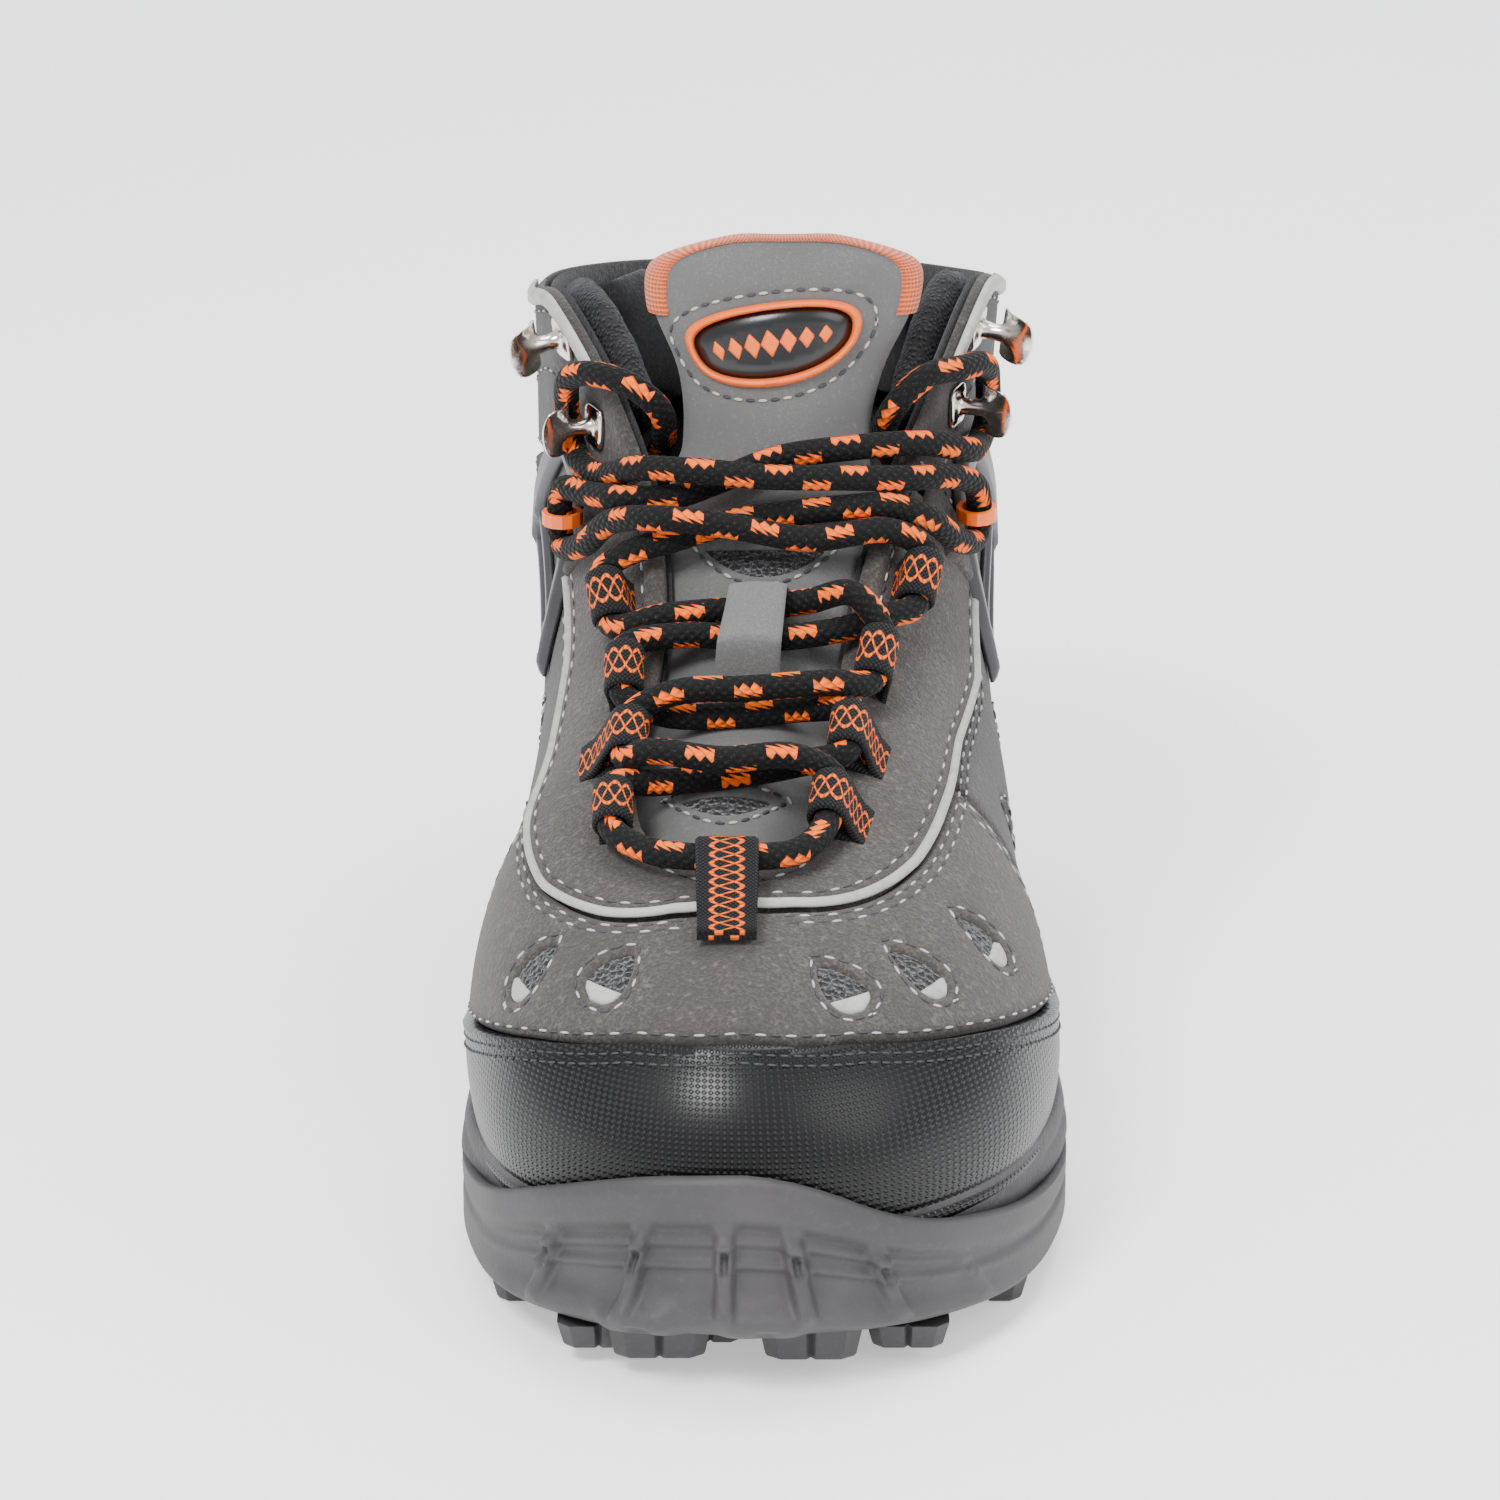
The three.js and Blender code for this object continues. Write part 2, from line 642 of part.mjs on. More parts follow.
function ankleFrame(s) {
  const block = (inset, insetHigh, inside, outside) => panel({
    from: s > 0 ? FRAME.from + inset : -FRAME.to + inset,
    to: s > 0 ? FRAME.to - inset : -FRAME.from - inset,
    low: level(FRAME.low + insetHigh), high: level(FRAME.high - insetHigh),
    slant: s * FRAME.slant, inside, outside, along: 6, up: 3,
  });
  const window = block(FRAME.rib, FRAME.ribHigh, -1, FRAME.thick + 2);
  return cut(block(0, 0, GAP, GAP + FRAME.thick), [window]);
}

for (const [name, s] of Object.entries(side)) {
  place(`ankle_frame_${name}`, ankleFrame(s), mouldedFrame());
}

// ---------------------------------------------------------------- tongue

// Middle line of the tongue: x, y, z, half width and how far its sides fall back.
const midOfThroat = (k) => rib(k).top.add(rib(TURN - k).top).multiplyScalar(0.5);
const halfOfThroat = (k) => (rib(k).top.x - rib(TURN - k).top.x) / 2;
const UNDER_THROAT = 6.8;
const TONGUE_TUCK = through({ 3: 4.5, 5: 4, 6: 0.2, 7: -2.5 });
const TONGUE_ROWS = [
  { middle: at(-7, -95, 69), half: 12, fall: 4 },
  { middle: at(-7, -84, 70.5), half: 14, fall: 5 },
  ...[3, 4, 5, 6, 7].map((k) => {
    const half = halfOfThroat(k) + TONGUE_TUCK(k);
    return { middle: midOfThroat(k), half, fall: UNDER_THROAT * (half / halfOfThroat(k)) ** 2 };
  }),
  { middle: at(2, 1, 131), half: 18, fall: 7 },
  { middle: at(3, 5, 143), half: 19.5, fall: 8 },
  { middle: at(3.5, 7, 155), half: 25, fall: 10 },
  { middle: at(4, 8, 164), half: 24, fall: 10 },
  { middle: at(4, 9, 170), half: 13, fall: 6 },
];
const TONGUE_JOINT = 7.6;
const JOINT_GAP = 0.075;
const HINGE_CORNER_LIFT = 0.22;

function tongueRow(spot) {
  const rows = TONGUE_ROWS.map(({ middle, half, fall }) => [...middle.toArray(), half, fall]);
  const last = rows.length - 1;
  const pick = (k) => rows[THREE.MathUtils.clamp(k, 0, last)];
  const first = Math.min(Math.floor(spot), last - 1);
  const near = [pick(first - 1), pick(first), pick(first + 1), pick(first + 2)];
  return blendRows(near, 1 + Math.min(spot - first, 0.9999));
}

// A point on the tongue at a spot along it and a share u of its half width, lifted by an offset.
function tonguePoint(spot, u, offset) {
  const [x, y, z, half, fall] = tongueRow(spot);
  const ahead = tongueRow(Math.min(spot + 0.05, TONGUE_ROWS.length - 1));
  const behind = tongueRow(Math.max(spot - 0.05, 0));
  const normal = new THREE.Vector3(0, -(ahead[2] - behind[2]), ahead[1] - behind[1]).normalize();
  const point = new THREE.Vector3(x + half * u, y, z);
  return point.addScaledVector(normal, offset - fall * u * u);
}

function tonguePatch({ from, to, left = -1, right = 1, outside, inside, along, across, lift = 0 }) {
  const grid = (offset) => Array.from({ length: along + 1 }, (_, i) => (
    Array.from({ length: across + 1 }, (_, j) => {
      const u = THREE.MathUtils.lerp(left, right, j / across);
      const start = from + lift * u * u;
      return tonguePoint(THREE.MathUtils.lerp(start, to, i / along), u, offset);
    })
  ));
  return skin(grid(outside), grid(inside));
}

place("tongue_lower", tonguePatch({
  from: 0, to: TONGUE_JOINT - JOINT_GAP, outside: 0, inside: -TONGUE, along: 14, across: 8,
}), nubuck());
place("tongue_upper", tonguePatch({
  from: TONGUE_JOINT + JOINT_GAP, to: TONGUE_ROWS.length - 1, lift: HINGE_CORNER_LIFT,
  outside: 0, inside: -TONGUE, along: 6, across: 8,
}), nubuck());

// The keeper is a bridge over the tongue that the lace passes under.
const KEEPER = { from: 4.0, to: 5.05, half: 0.3, thick: 1.4, foot: 0.08, seat: 1.4 * GAP };
const KEEPER_HIGH = 2 * LACE_PLAY + LACE + 3.6;
const KEEPER_BULGE = 1.6;

function keeper() {
  const { from, to, half, thick, foot, seat } = KEEPER;
  const rows = 10;
  const rise = (t) => seat + KEEPER_HIGH * Math.min(1, Math.sin(Math.PI * t) * KEEPER_BULGE);
  const line = (extra) => Array.from({ length: rows + 1 }, (_, i) => {
    const t = i / rows;
    const reach = THREE.MathUtils.lerp(from - foot, to + foot, t);
    return [-half, 0, half].map((u) => tonguePoint(reach, u, rise(t) + extra));
  });
  return skin(line(thick), line(0));
}

const BADGE = {
  spot: 8.55, u: -0.1, long: 34, high: 17, tilt: 0.17, thick: 1.2, ring: 1.6, ringProud: 0.6, fuller: 0.12,
};

// An egg-shaped plate bent onto the front of the tongue, fuller at its right end.
function eggPlate(long, high, lift, thick) {
  const { spot, u, tilt, fuller } = BADGE;
  const across = 14;
  const rows = 4;
  const near = 0.4;
  const apart = tonguePoint(spot + near, u, 0).distanceTo(tonguePoint(spot - near, u, 0));
  const stepUp = apart / (2 * near);
  const half = tongueRow(spot)[3];
  const grid = (offset) => Array.from({ length: across + 1 }, (_, i) => {
    const turn = Math.PI * THREE.MathUtils.lerp(0.97, 0.03, i / across);
    const x = (long / 2) * Math.cos(turn);
    const reach = (high / 2) * Math.sin(turn) ** 0.8 * (1 + fuller * Math.cos(turn));
    return Array.from({ length: rows + 1 }, (_, j) => {
      const y = THREE.MathUtils.lerp(-reach, reach, j / rows);
      const tx = x * Math.cos(tilt) - y * Math.sin(tilt);
      const ty = x * Math.sin(tilt) + y * Math.cos(tilt);
      return tonguePoint(spot + ty / stepUp, u + tx / half, offset);
    });
  });
  return skin(grid(lift + thick), grid(lift));
}

function badge() {
  return eggPlate(BADGE.long - 2 * BADGE.ring, BADGE.high - 2 * BADGE.ring, GAP, BADGE.thick);
}

function badgeRing() {
  const inner = 2 * (BADGE.ring - GAP / 2);
  const hole = eggPlate(BADGE.long - inner, BADGE.high - inner, -1, 6 * BADGE.thick);
  return cut(eggPlate(BADGE.long, BADGE.high, GAP, BADGE.thick + BADGE.ringProud), [hole]);
}

// The binding folds over the top edge of the tongue: a gutter with a front, a top and a back.
const BINDING = { deep: 5, wall: 1.1, play: 0.5, reach: 0.98 };

function binding() {
  const end = TONGUE_ROWS.length - 1;
  const columns = 16;
  const { deep, wall, play } = BINDING;
  const front = play + wall;
  const back = -TONGUE - play - wall;
  const section = [
    [-deep, front], [front, front], [front, back], [-deep, back],
    [-deep, back + wall], [play, back + wall], [play, play], [-deep, play],
  ];
  const rows = Array.from({ length: columns + 1 }, (_, j) => {
    const u = THREE.MathUtils.lerp(-BINDING.reach, BINDING.reach, j / columns);
    const top = tonguePoint(end, u, 0);
    const up = top.clone().sub(tonguePoint(end - 0.3, u, 0)).normalize();
    const normal = tonguePoint(end, u, 1).sub(top);
    const corner = ([rise, out]) => top.clone().addScaledVector(up, rise).addScaledVector(normal, out);
    return section.map(corner);
  });
  return tube(rows);
}

// A bar with the same many-sided section in every row.
function tube(rows) {
  const sides = rows[0].length;
  const points = rows.flat();
  const faces = [];
  for (let i = 0; i < rows.length - 1; i += 1) {
    for (let k = 0; k < sides; k += 1) {
      const a = i * sides + k;
      const b = i * sides + ((k + 1) % sides);
      faces.push([a, b, b + sides], [a, b + sides, a + sides]);
    }
  }
  const last = (rows.length - 1) * sides;
  const cap = (start, flip) => {
    for (let k = 0; k < sides / 2 - 1; k += 1) {
      const [a, b, c, d] = [k, k + 1, sides - 2 - k, sides - 1 - k].map((n) => n + start);
      faces.push(...(flip ? [[a, c, b], [a, d, c]] : [[a, b, c], [a, c, d]]));
    }
  };
  cap(0, true);
  cap(last, false);
  return closedGeometry(points, faces);
}

place("tongue_keeper", keeper(), nubuck());
place("badge", badge(), rubber());
place("badge_ring", badgeRing(), orange());
place("tongue_binding", binding(), orange());

// ---------------------------------------------------------------- lace

// The straight stretch of lace inside each webbing loop, from its lower to its upper end.
const LOOPS = {
  medial_1: [[-28, -82, 83.5], [-28, -71, 88]], lateral_1: [[11, -81, 84], [12.5, -69, 89]],
  medial_2: [[-26, -64.5, 91], [-25, -54, 95.5]], lateral_2: [[15, -62, 91.3], [16, -52, 95.5]],
  medial_3: [[-26.5, -46, 96.5], [-26.5, -36, 102.5]], lateral_3: [[20, -43.5, 98.5], [22, -34, 105]],
  medial_4: [[-29, -25, 103], [-31, -15, 110.5]], lateral_4: [[28.5, -21, 105.5], [31, -11, 113]],
  toe: [[-12.5, -92, 82], [-1.5, -92, 82]],
};

// The lace's turn in front of each ankle frame, through its eyelet.
const FRAME_TURNS = {
  medial: [[-39.5, 12, 107], [-39.5, 12, 118]],
  lateral: [[41.5, 13, 118], [41.5, 14, 108]],
};

const up = (name) => LOOPS[name];
const down = (name) => LOOPS[name].toReversed();

// The lace's middle line, from its end inside the medial wall to the one inside the lateral wall:
// over the collar, around a hook, across to the frame and down the loops, each time crossing over.
const LACE_ROUTE = [
  [-42, -30, 43], [-40, -14, 43], [-38, 2, 44], [-37, 18, 46], [-35, 34, 48],
  [-35, 50, 49], [-35, 64, 54], [-36, 71, 66], [-37, 64, 79], [-36, 53, 92],
  [-32, 42, 104], [-26, 31, 114], [-20.5, 20, 124],
  [-19.5, 12, 131], [-20.5, 8, 136], [-26, 7, 141], [-33, 11, 142], [-38, 18, 139], [-38.8, 23, 132.5],
  [-38.1, 21.8, 127], [-36.3, 17, 122.6], [-32, 8, 122.5],
  [-24, -5, 128], [-11, -12, 129.5], [0, -12, 128.5], [14, -9.5, 127.5], [28, -4, 125.7], [36, 4.5, 123.3],
  ...FRAME_TURNS.lateral, [37.5, 4, 110.5],
  [31, -6, 118.5], [24, -8.5, 121.6], [15, -10.5, 121.8], [5, -11.5, 121], [-6, -12, 119.5],
  [-17, -15, 117], [-26, -15.3, 114.3],
  ...down("medial_4"),
  [-19, -29, 106.3], [-5, -27, 107], [8, -27, 108.5], [16.5, -31, 111.5],
  ...down("lateral_3"),
  [12, -50, 100.5], [-3, -52, 100], [-17, -53, 99.5],
  ...down("medial_2"),
  [-21, -68, 93.5], [-8, -71, 93], [5, -70, 93.3],
  ...down("lateral_1"),
  [6, -89, 82], ...down("toe"), [-21, -89, 82],
  ...up("medial_1"),
  [-20, -66, 86.5], [-5, -64.5, 87.5], [7, -63.5, 89.5],
  ...up("lateral_2"),
  [8, -48, 94.5], [-6, -49, 93.5], [-19, -49.5, 94],
  ...up("medial_3"),
  [-16, -33.5, 104], [0, -34, 103.5], [14, -31, 104.2], [23.5, -25.5, 105.3],
  ...up("lateral_4"),
  [24, -13, 118], [8, -18, 118], [-7, -19, 121], [-20, -19, 122.5], [-29.5, -8.5, 118.3], [-35, 1.5, 110.5],
  ...FRAME_TURNS.medial,
  [-34, 3.5, 120], [-27, -5, 122], [-18, -7, 122.8], [-9, -5.5, 125.5],
  [2, -4, 129.5], [17, -3, 131.5], [31, 3, 130.5], [40, 13, 126], [42, 22, 124.5],
  [44, 30, 128], [44, 30, 135], [43, 24, 140], [38, 15, 142], [31, 9, 142], [25.5, 7.5, 137],
  [23.3, 12, 130], [25.5, 22, 121], [31, 33, 112], [34, 44, 101],
  [37, 55, 90], [38, 65, 79], [37, 71, 67], [36, 64, 55], [37, 50, 49],
  [37, 34, 48], [39, 18, 46], [41, 2, 44], [42, -14, 43], [43, -30, 43],
];
const LACE_SIDES = 8;

// A curve whose equal steps fall on its own points, so that a bend gets as many steps as points.
class PointedCurve extends THREE.CatmullRomCurve3 {
  getUtoTmapping(u) {
    return u;
  }
}

function circleShape(radius, sides) {
  const corners = Array.from({ length: sides }, (_, k) => {
    const turn = (2 * Math.PI * k) / sides;
    return new THREE.Vector2(radius * Math.cos(turn), radius * Math.sin(turn));
  });
  return new THREE.Shape(corners);
}

const lacePoint = ([x, y, z]) => at(x, y, z);
const laceCurve = new PointedCurve(LACE_ROUTE.map(lacePoint), false, "centripetal");

function lace() {
  return new THREE.ExtrudeGeometry(circleShape(LACE / 2, LACE_SIDES), {
    extrudePath: laceCurve, steps: LACE_ROUTE.length - 1, bevelEnabled: false,
  });
}

// Turns a piece drawn along +Z so that it lies along a direction, at a point.
function aim(geometry, direction, point) {
  const turn = new THREE.Quaternion().setFromUnitVectors(new THREE.Vector3(0, 0, 1), direction.normalize());
  return geometry.applyQuaternion(turn).translate(point.x, point.y, point.z);
}

// A ring of rectangular section around a straight stretch of the lace.
function laceRing([from, to], wall, width) {
  const bore = LACE / 2 + LACE_PLAY;
  const sides = 12;
  const profile = [
    [bore, -width / 2], [bore + wall, -width / 2], [bore + wall, width / 2], [bore, width / 2],
    [bore, -width / 2],
  ].map(([x, y]) => new THREE.Vector2(x, y));
  const ring = new THREE.LatheGeometry(profile, sides).rotateX(Math.PI / 2);
  return aim(ring, lacePoint(to).sub(lacePoint(from)), lacePoint(from).lerp(lacePoint(to), 0.5));
}

// A stiff tip carries on past an end of the lace.
function aglet(end, beforeEnd) {
  const along = lacePoint(end).sub(lacePoint(beforeEnd));
  const { long, radius } = AGLET;
  const sides = 10;
  const tip = new THREE.CylinderGeometry(radius * AGLET.taper, radius, long, sides).rotateX(Math.PI / 2);
  const middle = lacePoint(end).addScaledVector(along.clone().normalize(), GAP + long / 2);
  return aim(tip, along, middle);
}

place("lace", lace(), laceYarn());
for (const [name, stretch] of Object.entries(LOOPS)) {
  place(`loop_${name}`, laceRing(stretch, WEBBING, WEBBING_WIDTH), webbing());
}
for (const [name, stretch] of Object.entries(FRAME_TURNS)) {
  place(`eyelet_${name}`, laceRing(stretch, EYELET, EYELET_WIDTH), orange());
}
place("aglet_medial", aglet(LACE_ROUTE[0], LACE_ROUTE[1]), orange());
place("aglet_lateral", aglet(LACE_ROUTE.at(-1), LACE_ROUTE.at(-2)), orange());

// ---------------------------------------------------------------- speed hooks

const HOOKS = {
  medial_lower: [-7.8, 0.84], medial_upper: [-8.7, 0.9],
  lateral_lower: [8.05, 0.83], lateral_upper: [8.7, 0.9],
};

// A hook is a base riveted to the flap, a neck and a cap that keeps the lace on the neck.
function speedHook([w, h]) {
  const base = new THREE.BoxGeometry(HOOK - 1, HOOK - 1, HOOK_SHEET).translate(0, 0, HOOK_SHEET / 2);
  const neckHigh = LACE + HOOK_SHEET + HOOK_ROOM;
  const neck = new THREE.CylinderGeometry(HOOK_NECK, HOOK_NECK, neckHigh, 8).rotateX(Math.PI / 2);
  neck.translate(0, 0, HOOK_SHEET / 2 + neckHigh / 2);
  const cap = new THREE.BoxGeometry(HOOK, HOOK, HOOK_SHEET).translate(0, 0, HOOK_SHEET + neckHigh);
  const hook = join([base, neck, cap]);
  const normal = normalAt(w, h);
  const across = new THREE.Vector3(0, 0, 1).cross(normal).normalize();
  const frame = new THREE.Matrix4().makeBasis(across, normal.clone().cross(across), normal);
  frame.setPosition(upper(w, h, GAP));
  return hook.applyMatrix4(frame);
}

for (const [name, seat] of Object.entries(HOOKS)) {
  place(`hook_${name}`, speedHook(seat), nickel());
}

export default boot;
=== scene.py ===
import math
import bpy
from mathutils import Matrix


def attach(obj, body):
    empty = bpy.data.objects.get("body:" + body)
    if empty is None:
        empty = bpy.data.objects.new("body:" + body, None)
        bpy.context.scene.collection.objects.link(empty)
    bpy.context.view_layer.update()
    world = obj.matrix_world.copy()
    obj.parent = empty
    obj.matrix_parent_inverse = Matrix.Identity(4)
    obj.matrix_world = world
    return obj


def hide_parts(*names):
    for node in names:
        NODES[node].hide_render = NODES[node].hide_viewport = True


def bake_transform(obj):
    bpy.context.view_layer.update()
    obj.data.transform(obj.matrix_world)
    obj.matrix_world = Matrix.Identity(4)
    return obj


bl_info = {
    "name": "Hiking Boot",
    "version": (1, 0, 0),
    "blender": (4, 5, 0),
    "location": "View3D > Sidebar > Boot",
    "description": "Builds the visible pieces of a mid-height hiking boot on its packed frame",
    "category": "Object",
}

import bpy
import numpy as np
from bpy.props import FloatProperty, FloatVectorProperty, PointerProperty
from bpy.types import Operator, Panel, PropertyGroup
from mathutils import Vector
from mathutils.geometry import delaunay_2d_cdt

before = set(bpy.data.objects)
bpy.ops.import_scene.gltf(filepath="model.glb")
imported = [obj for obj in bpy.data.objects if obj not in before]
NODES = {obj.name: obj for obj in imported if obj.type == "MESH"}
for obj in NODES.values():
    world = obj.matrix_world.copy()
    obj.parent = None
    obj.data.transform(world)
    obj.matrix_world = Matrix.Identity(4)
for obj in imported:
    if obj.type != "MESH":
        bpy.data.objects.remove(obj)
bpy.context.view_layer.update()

MM = 0.001
UP = np.array([0.0, 0.0, 1.0])

# Thickness of the leather, level of the lining's inner face and thickness of the lace, in millimetres.
SUEDE = 1.8
LINING_IN = -4.1
LACE = 5.0

# Ribs of the upper from its foot to its top line, in millimetres: foot x, y, z, top x, y, z, upright
# start, lean of that start, reach of the end towards the foot, drop of the end.
RIBS = np.array([
    [-4, -144.8, 34, -7, -84, 77, 24, 3, 40, 3],
    [21, -138, 33, -2, -83, 77, 24, 3, 36, 3],
    [42, -115, 31, 3, -80, 78, 26, 5, 30, 3],
    [52, -84, 28, 7, -72, 81, 28, 6, 26, 2],
    [53, -54, 26, 10, -58, 87, 30, 6, 26, 2],
    [50, -24, 27, 13, -40, 95, 36, 3, 26, 4],
    [48, 4, 30, 17, -22, 106, 44, 4, 26, 8],
    [45, 30, 33, 24, -4, 121, 52, 5, 22, 10],
    [43, 54, 35, 34, 14, 139, 60, 7, 18, 12],
    [41, 76, 36, 43, 34, 154, 60, 8, 12, 20],
    [38, 100, 37, 47, 60, 149, 60, 8, 6, 30],
    [31, 122, 38, 42, 92, 142, 50, 5, 4, 40],
    [17, 139, 39, 25, 118, 137, 40, 4, 4, 44],
    [0, 145.4, 39, 0, 129, 134, 40, 4, 4, 44],
    [-17, 139, 39, -25, 118, 137, 40, 4, 4, 44],
    [-31, 123, 38, -42, 92, 142, 50, 5, 4, 40],
    [-39, 102, 38, -46, 60, 147, 60, 9, 6, 30],
    [-41, 78, 38, -41, 34, 151, 60, 10, 12, 20],
    [-41, 54, 38, -31, 14, 139, 60, 10, 18, 12],
    [-42, 28, 36, -22, -4, 121, 52, 8, 22, 10],
    [-45, 0, 32, -19, -22, 106, 44, 4, 24, 8],
    [-49, -34, 28, -20, -40, 95, 36, 3, 22, 4],
    [-53, -63, 26, -23, -58, 87, 30, 7, 22, 2],
    [-52, -91, 28, -22, -72, 81, 28, 6, 24, 2],
    [-44, -118, 31, -17, -80, 78, 26, 5, 28, 3],
    [-26, -138, 33, -12, -83, 77, 24, 3, 34, 3],
], float)
TURN = len(RIBS)
HEEL = TURN / 2

# Rows of the tongue from its tip in the toe to its top: middle x, y, z, half width, fall of its sides.
TONGUE_TIP = [[-7, -95, 69, 12, 4], [-7, -84, 70.5, 14, 5]]
TONGUE_TOP = [
    [2, 1, 131, 18, 7], [3, 5, 143, 19.5, 8], [3.5, 7, 155, 25, 10], [4, 8, 164, 24, 10], [4, 9, 170, 13, 6],
]
UNDER_THROAT = 6.8
TONGUE_TUCK = {3: 4.5, 4: 4.25, 5: 4, 6: 0.2, 7: -2.5}


def unit(vectors):
    """Vectors made one unit long."""
    return vectors / np.maximum(np.linalg.norm(vectors, axis=-1, keepdims=True), 1e-12)


def blend_rows(rows, place, closed=True):
    """Smooth blend of neighbouring rows of numbers at places between them."""
    first = np.floor(place).astype(int)
    f = (place - first)[..., None]
    count = len(rows)
    pick = (lambda k: rows[k % count]) if closed else (lambda k: rows[np.clip(k, 0, count - 1)])
    a, b, c, d = (pick(first + k) for k in (-1, 0, 1, 2))
    slope = (c - a) * f
    bend = (2 * a - 5 * b + 4 * c - d) * f ** 2
    twist = (3 * b - a - 3 * c + d) * f ** 3
    return b + (slope + bend + twist) / 2


def outward(w):
    """Level direction away from the boot at the foot of the upper."""
    step = 0.02
    along = blend_rows(RIBS, w + step)[..., :3] - blend_rows(RIBS, w - step)[..., :3]
    return unit(np.stack([along[..., 1], -along[..., 0], 0 * along[..., 0]], -1))


def bare_upper(w, h):
    """Points of the upper in millimetres, at places around it and shares of its height."""
    row = blend_rows(RIBS, w)
    foot, top = row[..., 0:3], row[..., 3:6]
    rise, lean, reach, drop = (row[..., k, None] for k in (6, 7, 8, 9))
    inward = (foot - top) * [1, 1, 0]
    far = np.linalg.norm(inward, axis=-1, keepdims=True)
    start = foot + outward(w) * lean + UP * rise
    end = top + inward / far * np.minimum(reach, 0.8 * far + 6) - UP * drop
    t = h[..., None]
    s = 1 - t
    return s ** 3 * foot + 3 * s * s * t * start + 3 * s * t * t * end + t ** 3 * top


def shell(w, h, offset=0.0):
    """Points of the upper at places w around it and shares h of the way up, lifted by an offset in mm."""
    w, h, offset = np.broadcast_arrays(*(np.asarray(v, float) for v in (w, h, offset)))
    step = 0.03
    around = bare_upper(w + step, h) - bare_upper(w - step, h)
    climb = bare_upper(w, np.minimum(h + step, 1)) - bare_upper(w, np.maximum(h - step, 0))
    return (bare_upper(w, h) + unit(np.cross(around, climb)) * offset[..., None]) * MM


def tongue_rows():
    """Rows of the tongue: its tip, a row under every rib of the throat, and its free top."""
    rows = list(TONGUE_TIP)
    for k in range(3, 8):
        lateral, medial = RIBS[k, 3:6], RIBS[TURN - k, 3:6]
        open_half = (lateral[0] - medial[0]) / 2
        half = open_half + TONGUE_TUCK[k]
        rows.append([*((lateral + medial) / 2), half, UNDER_THROAT * (half / open_half) ** 2])
    return np.array(rows + TONGUE_TOP, float)


TONGUE = tongue_rows()
TONGUE_END = len(TONGUE) - 1


def tongue_face(place, u, offset=0.0):
    """Points of the tongue's front at places along it and shares u of its half width, lifted in mm."""
    place, u, offset = np.broadcast_arrays(*(np.asarray(v, float) for v in (place, u, offset)))
    place = np.clip(place, 0, TONGUE_END - 1e-4)
    row = blend_rows(TONGUE, place, closed=False)
    ahead = blend_rows(TONGUE, np.minimum(place + 0.05, TONGUE_END - 1e-4), closed=False)
    behind = blend_rows(TONGUE, np.maximum(place - 0.05, 0), closed=False)
    lean = ahead - behind
    normal = unit(np.stack([0 * u, -lean[..., 2], lean[..., 1]], -1))
    point = row[..., :3] + np.stack([row[..., 3] * u, 0 * u, 0 * u], -1)
    return (point + normal * (offset - row[..., 4] * u * u)[..., None]) * MM


# ---------------------------------------------------------------- sizes and colours

class BootSizes(PropertyGroup):
    stitch_pitch: FloatProperty(
        name="Stitch pitch", description="Distance from one stitch to the next",
        default=0.0027, min=0.001, max=0.01, unit="LENGTH")
    thread: FloatProperty(
        name="Thread", description="Diameter of the sewing thread",
        default=0.00055, min=0.0002, max=0.002, unit="LENGTH")
    lace_step: FloatProperty(
        name="Lace step", description="Length of one section of the braided lace",
        default=0.0012, min=0.0005, max=0.005, unit="LENGTH")
    grain: FloatProperty(
        name="Nap", description="Size of the tufts of the suede",
        default=0.0007, min=0.0002, max=0.005, unit="LENGTH")
    sheet_step: FloatProperty(
        name="Panel step", description="Spacing of the points inside a sewn panel",
        default=0.0026, min=0.001, max=0.01, unit="LENGTH")


def hex_colour(code):
    """sRGB hex to linear colour."""
    channels = [int(code[k:k + 2], 16) / 255 for k in (0, 2, 4)]
    return tuple(c / 12.92 if c <= 0.04045 else ((c + 0.055) / 1.055) ** 2.4 for c in channels)


def colour_prop(name, description, code):
    """A colour setting of the panel, from its sRGB code."""
    return FloatVectorProperty(
        name=name, description=description, subtype="COLOR", size=3, min=0, max=1, default=hex_colour(code))


class BootColours(PropertyGroup):
    suede: colour_prop("Suede", "Colour of the vamp and eyestays", "4a4541")
    dark_suede: colour_prop("Dark suede", "Colour of the quarters and ankle flaps", "413e3c")
    nubuck: colour_prop("Nubuck", "Colour of the tongue", "5f5f5e")
    accent: colour_prop("Accent", "Colour of the binding, badge ring and flecks", "f2680f")
    rubber: colour_prop("Sole rubber", "Colour of the outsole", "353334")
    light: colour_prop("Light trim", "Colour of the piping and vent tips", "a3a49d")


# ---------------------------------------------------------------- materials

def feed(tree, made, inputs):
    """Links or sets sockets of a node. A node given as a value stands for its first output."""
    for key, value in inputs.items():
        socket = made.inputs[key]
        if isinstance(value, bpy.types.Node):
            value = next(output for output in value.outputs if output.enabled)
        if isinstance(value, bpy.types.NodeSocket):
            tree.links.new(value, socket)
        elif socket.type == "RGBA":
            socket.default_value = (*value[:3], 1)
        else:
            socket.default_value = value


def add(tree, kind, inputs=None, **settings):
    """Adds a node with its settings and links."""
    made = tree.nodes.new(kind)
    for key, value in settings.items():
        setattr(made, key, value)
    feed(tree, made, inputs or {})
    return made


def toned(tree, value, low, high, first, second, most=1.0):
    """Colour that goes from a first to a second one while a value climbs between two levels."""
    share = add(tree, "ShaderNodeMapRange", {0: value, 1: low, 2: high, 4: most}, interpolation_type="SMOOTHSTEP")
    return add(tree, "ShaderNodeMix", {0: share, 6: first, 7: second}, data_type="RGBA")


